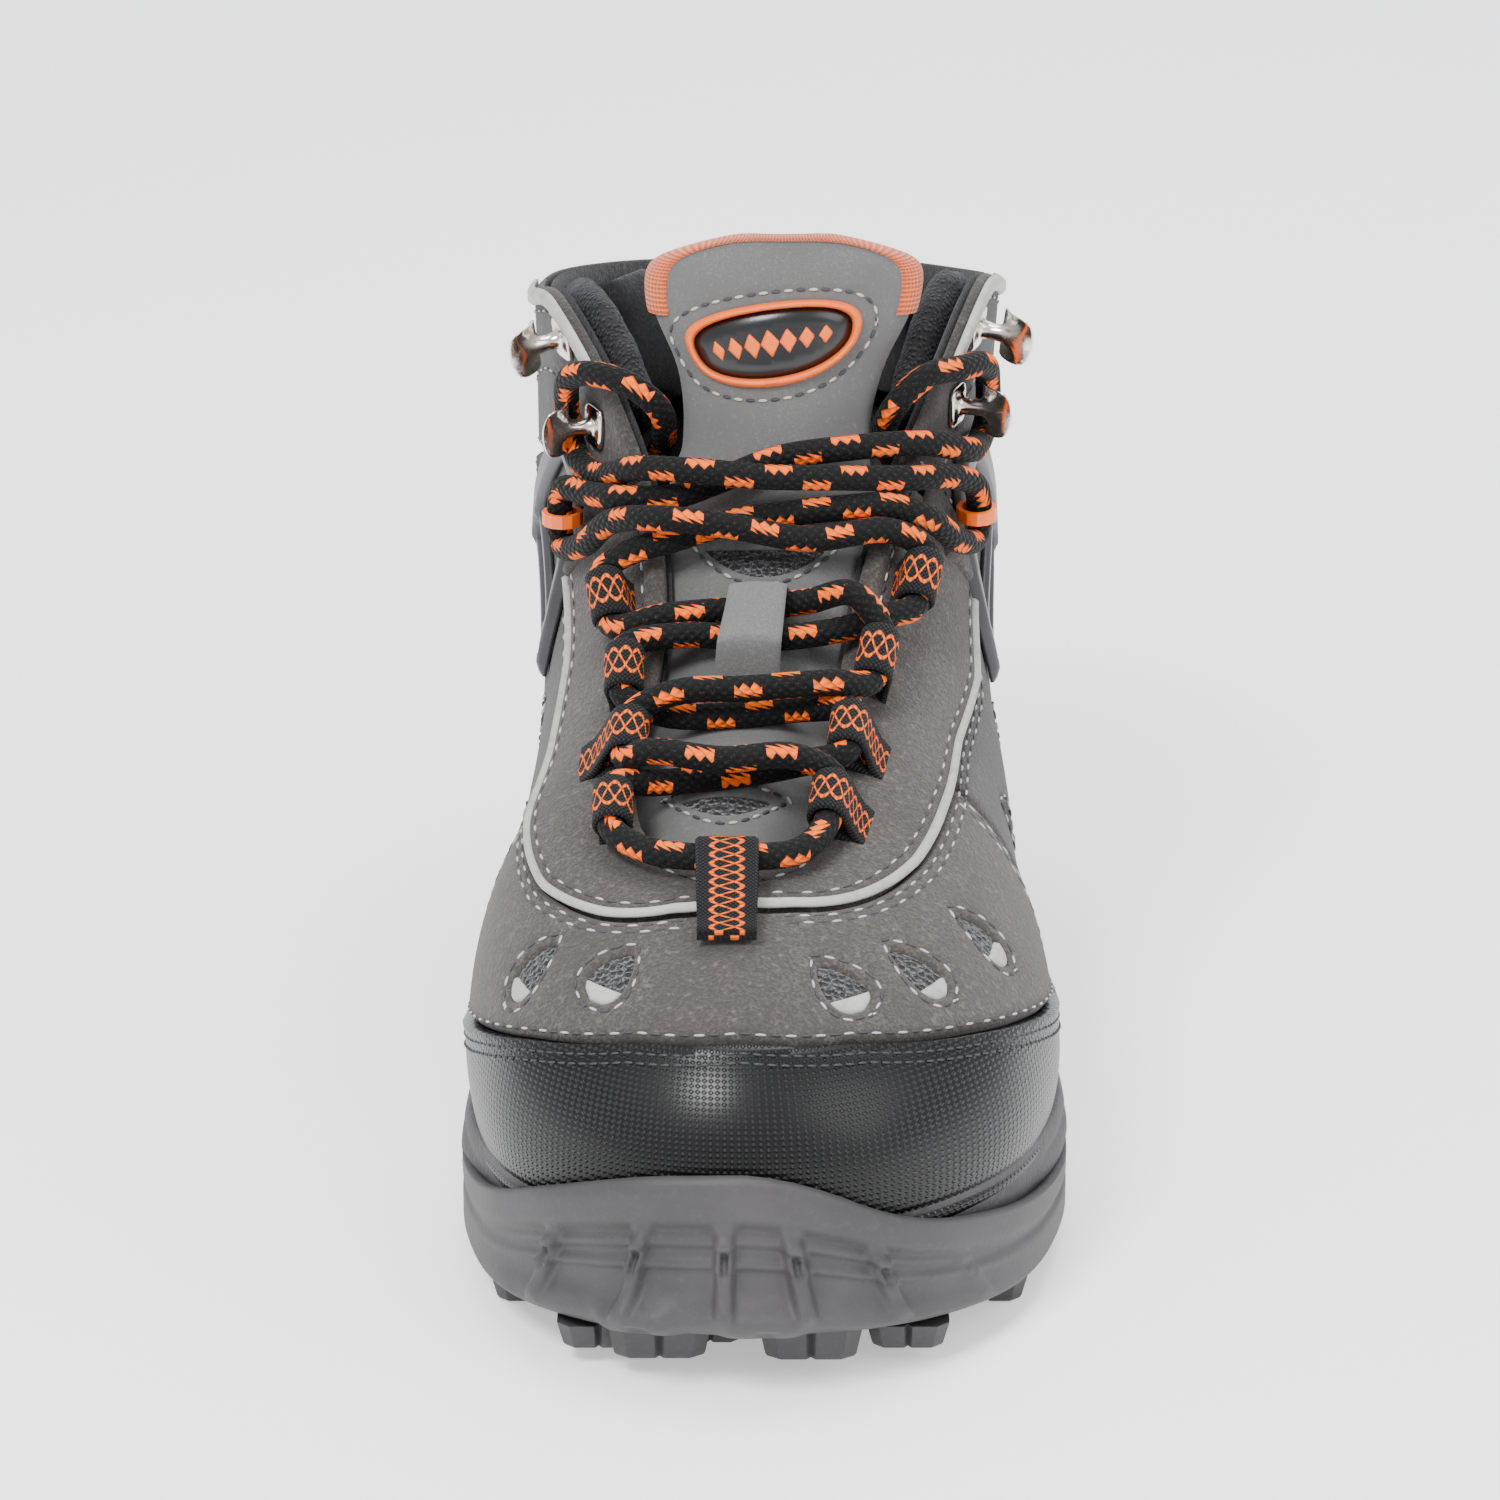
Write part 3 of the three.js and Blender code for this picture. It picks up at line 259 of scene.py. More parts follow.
def stripes(tree, value, pitch):
    """Wave between -1 and 1 with a crest at every pitch of a value."""
    turned = add(tree, "ShaderNodeMath", {0: value, 1: 2 * math.pi / pitch}, operation="MULTIPLY")
    return add(tree, "ShaderNodeMath", {0: turned}, operation="SINE")


def dress(tree, shader, colour, height, depth, strength):
    """Gives a shader its colour and its fine relief."""
    relief = add(tree, "ShaderNodeBump", {"Height": height, "Distance": depth, "Strength": strength})
    feed(tree, shader, {"Base Color": colour, "Normal": relief})


def new_material(name, **constants):
    """A material with a Principled shader. Returns it, its tree, its shader and object coordinates."""
    material = bpy.data.materials.new(name)
    material.use_nodes = True
    tree = material.node_tree
    shader = tree.nodes["Principled BSDF"]
    for key, value in constants.items():
        shader.inputs[key.replace("_", " ")].default_value = value
    coords = add(tree, "ShaderNodeTexCoord")
    return material, tree, shader, coords.outputs["Object"]


def shade(colour, factor):
    """A colour made darker or lighter by a factor."""
    return tuple(min(1.0, c * factor) for c in colour[:3])


MATERIALS = {}


def finish(name):
    """The named material, made the first time it is asked for."""
    if name not in MATERIALS:
        MATERIALS[name] = FINISHES[name](bpy.context.scene.boot_colours, bpy.context.scene.boot_sizes)
    return MATERIALS[name]


def napped(name, colour, tuft, mottle, contrast, strength):
    """Split leather with a raised nap: no gloss, fine tufts that catch light, cloudy tone."""
    material, tree, shader, place = new_material(name, Roughness=0.95, Sheen_Weight=0.12, Sheen_Roughness=0.6)
    shader.inputs["Specular IOR Level"].default_value = 0.25
    clouds = add(tree, "ShaderNodeTexNoise", {
        "Vector": place, "Scale": 1 / mottle, "Detail": 4, "Roughness": 0.6})
    tufts = add(tree, "ShaderNodeTexNoise", {
        "Vector": place, "Scale": 1 / tuft, "Detail": 3, "Roughness": 0.7})
    specks = add(tree, "ShaderNodeTexNoise", {
        "Vector": place, "Scale": 0.45 / tuft, "Detail": 2, "Roughness": 0.6})
    tone = toned(tree, clouds, 0.32, 0.68, shade(colour, 0.78), shade(colour, 1.2))
    dark = toned(tree, tufts, 0.42, 0.66, shade(colour, 1 - contrast), tone)
    light = toned(tree, specks, 0.56, 0.76, dark, shade(colour, 1 + 1.5 * contrast), most=0.8)
    both = add(tree, "ShaderNodeMath", {
        0: tufts, 1: add(tree, "ShaderNodeMath", {0: specks, 1: 0.8}, operation="MULTIPLY")}, operation="ADD")
    dress(tree, shader, light, both, tuft * 0.5, strength)
    return material


def suede(colours, sizes):
    """Split leather of the vamp and eyestays."""
    return napped("split_suede", colours.suede, sizes.grain, 0.012, 0.42, 1.0)


def dark_suede(colours, sizes):
    """Darker split leather of the quarters and flaps."""
    return napped("dark_split_suede", colours.dark_suede, sizes.grain, 0.014, 0.42, 1.0)


def nubuck(colours, sizes):
    """Buffed leather: a very short, even nap with a fine pale speckle."""
    return napped("nubuck", colours.nubuck, sizes.grain * 0.55, 0.03, 0.16, 0.35)


def spacer_mesh(colours, sizes):
    """Knitted spacer fabric: rows of small open holes between pale-edged black yarns, with painted shade making the
    holes nearly black.
    """
    material, tree, shader, place = new_material("spacer_mesh", Roughness=0.8, Sheen_Weight=0.2)
    holes = add(tree, "ShaderNodeTexVoronoi", {"Vector": place, "Scale": 760.0, "Randomness": 0.55})
    yarn = add(tree, "ShaderNodeTexNoise", {
        "Vector": place, "Scale": 2600, "Detail": 2, "Roughness": 0.7})
    ring = add(tree, "ShaderNodeMapRange", {
        0: holes.outputs["Distance"], 1: 0.28, 2: 0.62}, interpolation_type="SMOOTHSTEP")
    thread = toned(tree, yarn, 0.5, 0.72, hex_colour("1a1a1b"), hex_colour("77777a"))
    # Painted shade: the middle of every hole is made nearly black.
    tone = add(tree, "ShaderNodeMix", {0: ring, 6: hex_colour("050505"), 7: thread}, data_type="RGBA")
    dress(tree, shader, tone, ring, 0.0007, 1.0)
    return material


def pad_mesh(colours, sizes):
    """Black knitted cover of the collar padding: small ridged stitches, with painted shade in the valleys between
    them.
    """
    material, tree, shader, place = new_material("padding_knit", Roughness=0.85, Sheen_Weight=0.1)
    shader.inputs["Sheen Tint"].default_value = (0.5, 0.5, 0.55, 1)
    cells = add(tree, "ShaderNodeTexVoronoi", {"Vector": place, "Scale": 1000.0, "Randomness": 0.7})
    yarn = add(tree, "ShaderNodeTexNoise", {
        "Vector": place, "Scale": 2400, "Detail": 2, "Roughness": 0.7})
    valley_and_painted_shade = add(tree, "ShaderNodeMapRange", {
        0: cells.outputs["Distance"], 1: 0.1, 2: 0.6}, interpolation_type="SMOOTHSTEP")
    thread = toned(tree, yarn, 0.48, 0.72, hex_colour("070708"), hex_colour("39393c"))
    # Painted shade: the valleys between the stitches are made nearly black.
    tone = add(tree, "ShaderNodeMix", {0: valley_and_painted_shade, 6: thread, 7: hex_colour("0a0a0b")}, data_type="RGBA")
    flipped = add(tree, "ShaderNodeMath", {0: 1.0, 1: valley_and_painted_shade}, operation="SUBTRACT")
    dress(tree, shader, tone, flipped, 0.0005, 1.0)
    return material


def fleece(colours, sizes):
    """Brushed pile lining: soft, matt and nearly black."""
    return napped("brushed_lining", hex_colour("232325"), 0.0009, 0.015, 0.4, 0.8)


def rand_fabric(colours, sizes):
    """Rubberised fabric: a tight grid of raised dots, black with a satin shine and painted shade in the hollows
    between the dots.
    """
    material, tree, shader, _ = new_material("rubberised_fabric", Roughness=0.34)
    shader.inputs["Specular IOR Level"].default_value = 0.3
    uv = add(tree, "ShaderNodeUVMap", uv_map="surface").outputs[0]
    turned = add(tree, "ShaderNodeMapping", {"Vector": uv, "Rotation": (0, 0, math.radians(45))}).outputs[0]
    parts = add(tree, "ShaderNodeSeparateXYZ", {0: turned})
    dots = None
    for axis in (0, 1):
        wave = stripes(tree, parts.outputs[axis], 0.0021)
        dots = wave if dots is None else add(tree, "ShaderNodeMath", {
            0: dots, 1: wave}, operation="MULTIPLY")
    height = add(tree, "ShaderNodeMapRange", {0: dots, 1: 0.0, 2: 0.8}, interpolation_type="SMOOTHSTEP")
    # Painted shade: the hollows between the dots are darker than the dot tops.
    dots_with_painted_shade = add(tree, "ShaderNodeMix", {
        0: height, 6: hex_colour("040404"), 7: hex_colour("1d1c1d")}, data_type="RGBA")
    dress(tree, shader, dots_with_painted_shade, height, 0.0004, 1.0)
    return material


def moulded(name, colour, roughness, grain, depth, spot=1.35):
    """Moulded rubber or foam: a fine even texture from the tool, dusty in its tone."""
    material, tree, shader, place = new_material(name, Roughness=roughness)
    fine = add(tree, "ShaderNodeTexNoise", {
        "Vector": place, "Scale": 1 / grain, "Detail": 3, "Roughness": 0.6})
    wide = add(tree, "ShaderNodeTexNoise", {
        "Vector": place, "Scale": 45, "Detail": 3, "Roughness": 0.6})
    tone = toned(tree, wide, 0.35, 0.7, shade(colour, 0.85), shade(colour, 1.15))
    tone = toned(tree, fine, 0.5, 0.75, tone, shade(colour, spot), most=0.6)
    dress(tree, shader, tone, fine, depth, 0.6)
    return material


def sole_rubber(colours, sizes):
    """Moulded carbon rubber of the outsole."""
    return moulded("moulded_rubber", colours.rubber, 0.62, 0.0012, 0.00015)


def midsole_foam(colours, sizes):
    """Moulded EVA foam: a leathery grain pressed in by the tool."""
    return moulded("eva_foam", hex_colour("363435"), 0.7, 0.0016, 0.0005, 1.7)


def frame_plastic(colours, sizes):
    """Moulded satin plastic of the ankle frames."""
    return moulded("tpu_frame", hex_colour("2f2d31"), 0.4, 0.0006, 0.00006, 1.2)


def light_trim(colours, sizes):
    """Coated synthetic strip: smooth, pale, with grime in the pores."""
    material, tree, shader, place = new_material("coated_strip", Roughness=0.55)
    grime = add(tree, "ShaderNodeMapRange", {
        0: add(tree, "ShaderNodeTexNoise", {
            "Vector": place, "Scale": 260, "Detail": 4, "Roughness": 0.65}),
        1: 0.45,
        2: 0.75}, interpolation_type="SMOOTHSTEP")
    tone = add(tree, "ShaderNodeMix", {
        0: grime, 6: colours.light, 7: shade(colours.light, 0.72)}, data_type="RGBA")
    dress(
        tree,
        shader,
        tone,
        add(tree, "ShaderNodeTexNoise", {
            "Vector": place, "Scale": 1800, "Detail": 2, "Roughness": 0.55}),
        0.0001,
        0.5)
    return material


def thread(colours, sizes):
    """Twisted two-tone sewing thread: every other stitch is pale."""
    material, tree, shader, _ = new_material("sewing_thread", Roughness=0.7)
    tone = add(tree, "ShaderNodeAttribute", attribute_name="tone").outputs["Fac"]
    feed(tree, shader, {
        "Base Color": add(tree, "ShaderNodeMix", {
            0: tone, 6: hex_colour("35353a"), 7: hex_colour("a9a7a4")}, data_type="RGBA")})
    return material


def dark_thread(colours, sizes):
    """Black sewing thread with a slight shine."""
    material, _, shader, _ = new_material("black_thread", Roughness=0.6)
    shader.inputs["Base Color"].default_value = (*hex_colour("29292b"), 1)
    return material


def braid(colours, sizes):
    """Round braided polyester: slanting yarns that cross, with paired accent flecks along it, painted highlight
    streaks on the yarns and painted shade in the grooves between them.
    """
    material, tree, shader, _ = new_material("braided_yarn", Roughness=0.8, Sheen_Weight=0.03)
    shader.inputs["Specular IOR Level"].default_value = 0.2
    uv = add(tree, "ShaderNodeUVMap", uv_map="surface").outputs[0]
    parts = add(tree, "ShaderNodeSeparateXYZ", {0: uv})
    along, around = parts.outputs[0], parts.outputs[1]
    pick = 0.0021
    fleck_pitch = 0.0146
    strands = 8
    steps = add(tree, "ShaderNodeMath", {0: along, 1: pick}, operation="DIVIDE")
    turns = add(tree, "ShaderNodeMath", {0: around, 1: float(strands)}, operation="MULTIPLY")
    right = add(tree, "ShaderNodeMath", {
        0: add(tree, "ShaderNodeMath", {0: steps, 1: turns}, operation="ADD")}, operation="FRACT")
    left = add(tree, "ShaderNodeMath", {
        0: add(tree, "ShaderNodeMath", {0: steps, 1: turns}, operation="SUBTRACT")}, operation="FRACT")
    ridge_a = add(tree, "ShaderNodeMath", {0: right, 1: 0.5}, operation="PINGPONG")
    ridge_b = add(tree, "ShaderNodeMath", {0: left, 1: 0.5}, operation="PINGPONG")
    height = add(tree, "ShaderNodeMath", {
        0: add(tree, "ShaderNodeMath", {0: ridge_a, 1: ridge_b}, operation="MULTIPLY"), 1: 4.0}, operation="MULTIPLY")
    fibre = add(tree, "ShaderNodeTexNoise", {
        "Vector": add(tree, "ShaderNodeMapping", {"Vector": uv, "Scale": (1, 0.016, 1)}).outputs[0],
        "Scale": 2600, "Detail": 2, "Roughness": 0.7})
    # Painted highlight: pale streaks along the yarns, from stretched noise.
    yarn = toned(tree, fibre, 0.5, 0.75, hex_colour("050505"), hex_colour("363638"))
    # Painted shade: the grooves between the crossing yarns are made nearly black.
    yarn = toned(tree, height, 0.05, 0.5, hex_colour("030303"), yarn)
    row = add(tree, "ShaderNodeMath", {0: around, 1: 4.0}, operation="MULTIPLY")
    stagger = add(tree, "ShaderNodeMath", {
        0: add(tree, "ShaderNodeMath", {0: row}, operation="FLOOR"), 1: 0.5}, operation="MULTIPLY")
    repeats = add(tree, "ShaderNodeMath", {0: along, 1: fleck_pitch}, operation="DIVIDE")
    placed = add(tree, "ShaderNodeMath", {0: repeats, 1: stagger}, operation="ADD")
    cycle = add(tree, "ShaderNodeMath", {0: placed}, operation="FRACT")
    inside = add(tree, "ShaderNodeMath", {0: cycle, 1: 0.36}, operation="LESS_THAN")
    wobble = add(tree, "ShaderNodeMath", {
        0: add(tree, "ShaderNodeMath", {0: right, 1: 0.5}, operation="SUBTRACT"), 1: 0.3}, operation="MULTIPLY")
    row_share = add(tree, "ShaderNodeMath", {0: row}, operation="FRACT")
    sideways = add(tree, "ShaderNodeMath", {0: row_share, 1: 0.5}, operation="SUBTRACT")
    off = add(tree, "ShaderNodeMath", {0: sideways}, operation="ABSOLUTE")
    band = add(tree, "ShaderNodeMath", {
        0: add(tree, "ShaderNodeMath", {0: off, 1: wobble}, operation="ADD"), 1: 0.26}, operation="LESS_THAN")
    fleck = add(tree, "ShaderNodeMath", {0: inside, 1: band}, operation="MULTIPLY")
    # Painted shade: each accent yarn is darker on one side, from its groove up towards its crest.
    accent = toned(tree, right, 0.0, 0.35, shade(colours.accent, 0.45), colours.accent)
    dress(
        tree,
        shader,
        add(tree, "ShaderNodeMix", {0: fleck, 6: yarn, 7: accent}, data_type="RGBA"),
        height,
        0.0004,
        0.9)
    return material


def tape(colours, sizes):
    """Woven webbing: black twill with accent threads that cross in diamonds along its middle, with painted shade
    where the weave dips.
    """
    material, tree, shader, _ = new_material("woven_tape", Roughness=0.85, Sheen_Weight=0.03)
    shader.inputs["Specular IOR Level"].default_value = 0.2
    uv = add(tree, "ShaderNodeUVMap", uv_map="surface").outputs[0]
    parts = add(tree, "ShaderNodeSeparateXYZ", {0: uv})
    along, across = parts.outputs[0], parts.outputs[1]
    rib_a = stripes(tree, along, 0.0008)
    rib_b = stripes(tree, across, 0.0009)
    weave = add(tree, "ShaderNodeMath", {0: rib_a, 1: rib_b}, operation="MULTIPLY")
    # Painted shade: the twill is darker where the weave dips.
    black = toned(tree, weave, -0.3, 0.9, hex_colour("040404"), hex_colour("262628"))
    lines = None
    diamond_pitch = 0.0066
    for shift in (0.0, 0.33, 0.67):
        repeats = add(tree, "ShaderNodeMath", {0: along, 1: diamond_pitch}, operation="DIVIDE")
        moved = add(tree, "ShaderNodeMath", {0: repeats, 1: shift}, operation="ADD")
        turn = add(tree, "ShaderNodeMath", {0: moved, 1: 2 * math.pi}, operation="MULTIPLY")
        swing = add(tree, "ShaderNodeMath", {
            0: add(tree, "ShaderNodeMath", {0: turn}, operation="SINE"), 1: 0.0028}, operation="MULTIPLY")
        off = add(tree, "ShaderNodeMath", {
            0: add(tree, "ShaderNodeMath", {0: across, 1: swing}, operation="SUBTRACT")}, operation="ABSOLUTE")
        line = add(tree, "ShaderNodeMapRange", {
            0: off, 1: 0.00035, 2: 0.0006, 3: 1.0, 4: 0.0}, interpolation_type="SMOOTHSTEP")
        lines = line if lines is None else add(tree, "ShaderNodeMath", {
            0: lines, 1: line}, operation="MAXIMUM")
    # Painted shade: the accent strands are darker between their ribs.
    strand = toned(tree, rib_a, -0.8, 0.2, shade(colours.accent, 0.5), colours.accent)
    height = add(tree, "ShaderNodeMath", {
        0: add(tree, "ShaderNodeMath", {0: weave, 1: 0.4}, operation="MULTIPLY"), 1: lines}, operation="ADD")
    dress(
        tree,
        shader,
        add(tree, "ShaderNodeMix", {0: lines, 6: black, 7: strand}, data_type="RGBA"),
        height,
        0.00035,
        0.9)
    return material


def knit(colours, sizes):
    """Ribbed knitted binding: fine raised cords across its width, with painted shade in the grooves between them."""
    material, tree, shader, _ = new_material("rib_knit", Roughness=0.8, Sheen_Weight=0.3)
    uv = add(tree, "ShaderNodeUVMap", uv_map="surface").outputs[0]
    parts = add(tree, "ShaderNodeSeparateXYZ", {0: uv})
    ribs = stripes(tree, parts.outputs[0], 0.0011)
    loops = stripes(tree, parts.outputs[1], 0.0009)
    height = add(tree, "ShaderNodeMath", {
        0: ribs, 1: add(tree, "ShaderNodeMath", {0: loops, 1: 0.5}, operation="MULTIPLY")}, operation="ADD")
    # Painted shade: the grooves between the cords are much darker than their tops.
    tone = toned(tree, height, -1.0, 1.0, shade(colours.accent, 0.4), shade(colours.accent, 1.05))
    dress(tree, shader, tone, height, 0.00025, 0.8)
    return material


def accent_rubber(colours, sizes):
    """Moulded soft rubber in the accent colour, satin."""
    material, tree, shader, place = new_material("accent_rubber", Roughness=0.42)
    tone = add(tree, "ShaderNodeMix", {
        0: add(tree, "ShaderNodeTexNoise", {
            "Vector": place, "Scale": 120, "Detail": 3, "Roughness": 0.55}),
        6: shade(colours.accent, 0.85),
        7: colours.accent}, data_type="RGBA")
    dress(
        tree,
        shader,
        tone,
        add(tree, "ShaderNodeTexNoise", {
            "Vector": place, "Scale": 2500, "Detail": 2, "Roughness": 0.55}),
        5e-05,
        0.4)
    return material


def badge_rubber(colours, sizes):
    """Polished black rubber plate."""
    material, tree, shader, place = new_material("polished_rubber", Roughness=0.28)
    tone = add(tree, "ShaderNodeMix", {
        0: add(tree, "ShaderNodeTexNoise", {
            "Vector": place, "Scale": 90, "Detail": 3, "Roughness": 0.55}),
        6: hex_colour("050506"),
        7: hex_colour("0f0f11")}, data_type="RGBA")
    dress(
        tree,
        shader,
        tone,
        add(tree, "ShaderNodeTexNoise", {
            "Vector": place, "Scale": 1500, "Detail": 2, "Roughness": 0.55}),
        5e-05,
        0.3)
    return material


def nickel(colours, sizes):
    """Bright nickel plating on pressed steel, with faint rubbing marks."""
    material, tree, shader, place = new_material("nickel_plate", Metallic=1.0, Roughness=0.14)
    shader.inputs["Base Color"].default_value = (*hex_colour("d8d3cc"), 1)
    marks = add(tree, "ShaderNodeTexNoise", {
        "Vector": place, "Scale": 420, "Detail": 4, "Roughness": 0.7})
    feed(tree, shader, {
        "Roughness": add(tree, "ShaderNodeMapRange", {
            0: marks, 1: 0.4, 2: 0.8, 3: 0.16, 4: 0.34}, interpolation_type="SMOOTHSTEP")})
    feed(tree, shader, {
        "Normal": add(tree, "ShaderNodeBump", {"Height": marks, "Distance": 6e-05, "Strength": 0.4})})
    return material


def board(colours, sizes):
    """Pressed fibre board."""
    return napped("fibre_board", hex_colour("8a7a60"), 0.001, 0.01, 0.2, 0.3)


def steel(colours, sizes):
    """Rolled spring steel: fine marks along its length."""
    material, tree, shader, place = new_material("rolled_steel", Metallic=1.0, Roughness=0.35)
    shader.inputs["Base Color"].default_value = (*hex_colour("8f9296"), 1)
    drawn = add(tree, "ShaderNodeMapping", {"Vector": place, "Scale": (1, 0.03, 1)}).outputs[0]
    feed(tree, shader, {
        "Normal": add(tree, "ShaderNodeBump", {
            "Height": add(tree, "ShaderNodeTexNoise", {
                "Vector": drawn, "Scale": 3000, "Detail": 2, "Roughness": 0.55}),
            "Distance": 5e-05,
            "Strength": 0.5})})
    return material


def sock_cloth(colours, sizes):
    """Woven cover of the footbed, with painted shade where the weave dips."""
    material, tree, shader, place = new_material("footbed_cloth", Roughness=0.9, Sheen_Weight=0.2)
    parts = add(tree, "ShaderNodeSeparateXYZ", {0: place})
    warp = stripes(tree, parts.outputs[0], 0.001)
    weft = stripes(tree, parts.outputs[1], 0.001)
    weave = add(tree, "ShaderNodeMath", {0: warp, 1: weft}, operation="MULTIPLY")
    # Painted shade: the cloth is darker where the weave dips.
    tone = toned(tree, weave, -0.8, 0.8, hex_colour("2f2f32"), hex_colour("5c5c61"))
    dress(tree, shader, tone, weave, 0.0002, 0.8)
    return material


def pale_floor(colours, sizes):
    """Matt paper backdrop."""
    material, tree, shader, place = new_material("paper_backdrop", Roughness=0.95)
    shader.inputs["Specular IOR Level"].default_value = 0.1
    shader.inputs["Emission Color"].default_value = (1.0, 1.0, 1.0, 1.0)
    shader.inputs["Emission Strength"].default_value = 0.55
    tone = add(tree, "ShaderNodeMix", {
        0: add(tree, "ShaderNodeTexNoise", {
            "Vector": place, "Scale": 3, "Detail": 2, "Roughness": 0.55}),
        6: hex_colour("f0f0f0"),
        7: hex_colour("f3f3f3")}, data_type="RGBA")
    feed(tree, shader, {"Base Color": tone})
    return material


FINISHES = {
    "suede": suede, "dark_suede": dark_suede, "nubuck": nubuck,
    "spacer_mesh": spacer_mesh, "pad_mesh": pad_mesh, "fleece": fleece, "rand": rand_fabric,
    "rubber": sole_rubber, "foam": midsole_foam, "frame_plastic": frame_plastic, "light_trim": light_trim,
    "thread": thread, "dark_thread": dark_thread, "braid": braid, "tape": tape, "knit": knit,
    "accent_rubber": accent_rubber, "badge_rubber": badge_rubber, "nickel": nickel, "board": board,
    "steel": steel, "sock_cloth": sock_cloth, "floor": pale_floor,
}


# ---------------------------------------------------------------- meshes


def new_piece(name, points, faces, finish_name, body="boot", stands_for=(), slot=None, uv=None):
    """A mesh object with its finish, riding on a body. uv holds one pair of metres for each point."""
    mesh = bpy.data.meshes.new(name)
    mesh.from_pydata(np.asarray(points).tolist(), [], [tuple(int(v) for v in face) for face in faces])
    mesh.polygons.foreach_set("use_smooth", [True] * len(mesh.polygons))
    if uv is not None:
        layer = mesh.uv_layers.new(name="surface")
        corners = np.empty(len(mesh.loops), dtype=np.int32)
        mesh.loops.foreach_get("vertex_index", corners)
        layer.data.foreach_set("uv", np.asarray(uv, np.float32)[corners].ravel())
    mesh.materials.append(finish(finish_name))
    mesh.update()
    piece = bpy.data.objects.new(name, mesh)
    bpy.context.scene.collection.objects.link(piece)
    settle(piece, body, stands_for, slot)
    return piece


def settle(piece, body, stands_for=(), slot=None):
    """Says which body a piece rides on and which nodes it stands for. The slot is not used."""
    if body == "tongue":
        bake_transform(piece)
    elif body is not None:
        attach(piece, body)
    if stands_for:
        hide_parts(*stands_for)


def skin_faces(rows, columns, ring=False):
    """Faces of a closed skin: a front grid, the same grid behind it, and walls between their edges."""
    behind = rows * columns
    faces = []

    def at(i, j):
        return (i % rows) * columns + j

    for i in range(rows if ring else rows - 1):
        for j in range(columns - 1):
            quad = (at(i, j), at(i + 1, j), at(i + 1, j + 1), at(i, j + 1))
            faces += [quad, tuple(behind + v for v in reversed(quad))]
        low = (at(i, 0), at(i + 1, 0))
        high = (at(i + 1, columns - 1), at(i, columns - 1))
        faces += [(a, behind + a, behind + b, b) for a, b in (low, high)]
    if not ring:
        for j in range(columns - 1):
            first = (at(0, j + 1), at(0, j))
            last = (at(rows - 1, j), at(rows - 1, j + 1))
            faces += [(a, behind + a, behind + b, b) for a, b in (first, last)]
    return faces


def skin(name, front, back, finish_name, ring=False, **settings):
    """A closed skin between two grids of points."""
    rows, columns = front.shape[:2]
    points = np.concatenate([front.reshape(-1, 3), back.reshape(-1, 3)])
    return new_piece(name, points, skin_faces(rows, columns, ring), finish_name, **settings)


def resample(line, step, closed=False, count=None):
    """The same line with even steps, or with a number of them."""
    line = np.asarray(line, float)
    if closed:
        line = np.vstack([line, line[:1]])
    marks = np.concatenate([[0.0], np.cumsum(np.linalg.norm(np.diff(line, axis=0), axis=1))])
    count = count or max(4 if closed else 1, int(round(marks[-1] / step)))
    spots = np.linspace(0, marks[-1], count + 1)
    even = np.stack([np.interp(spots, marks, line[:, k]) for k in range(line.shape[1])], 1)
    return even[:-1] if closed else even


def distance_to(points, line, closed=False):
    """Distance from each flat point to a line."""
    start = line if closed else line[:-1]
    leg = (np.roll(line, -1, axis=0) if closed else line[1:]) - start
    nearest = np.full(len(points), 1e9)
    for k in range(0, len(start), 50):
        a, d = start[k:k + 50], leg[k:k + 50]
        gap = points[:, None] - a[None]
        share = np.clip((gap * d).sum(-1) / np.maximum((d * d).sum(-1), 1e-12), 0, 1)
        nearest = np.minimum(nearest, np.linalg.norm(gap - share[..., None] * d, axis=-1).min(1))
    return nearest


def within(points, outline):
    """Which flat points lie inside a closed outline."""
    x, y = points[:, 0, None], points[:, 1, None]
    a, b = outline[None], np.roll(outline, -1, axis=0)[None]
    rise = b[..., 1] - a[..., 1]
    rise = np.where(np.abs(rise) < 1e-9, 1e-9, rise)
    passes = ((a[..., 1] > y) != (b[..., 1] > y)) & (x < a[..., 0] + (b[..., 0] - a[..., 0]) * (y - a[..., 1]) / rise)
    return passes.sum(1) % 2 == 1


def shifted(line, amount, closed=True):
    """A line moved sideways, to its left for a positive amount."""
    ahead = np.roll(line, -1, axis=0) if closed else np.vstack([line[1:], 2 * line[-1:] - line[-2:-1]])
    behind = np.roll(line, 1, axis=0) if closed else np.vstack([2 * line[:1] - line[1:2], line[:-1]])
    along = unit(ahead - behind)
    return line + np.stack([-along[:, 1], along[:, 0]], 1) * amount


def turns_left(outline):
    """Whether a closed outline runs anticlockwise."""
    after = np.roll(outline, -1, axis=0)
    return (outline[:, 0] * after[:, 1] - after[:, 0] * outline[:, 1]).sum() > 0


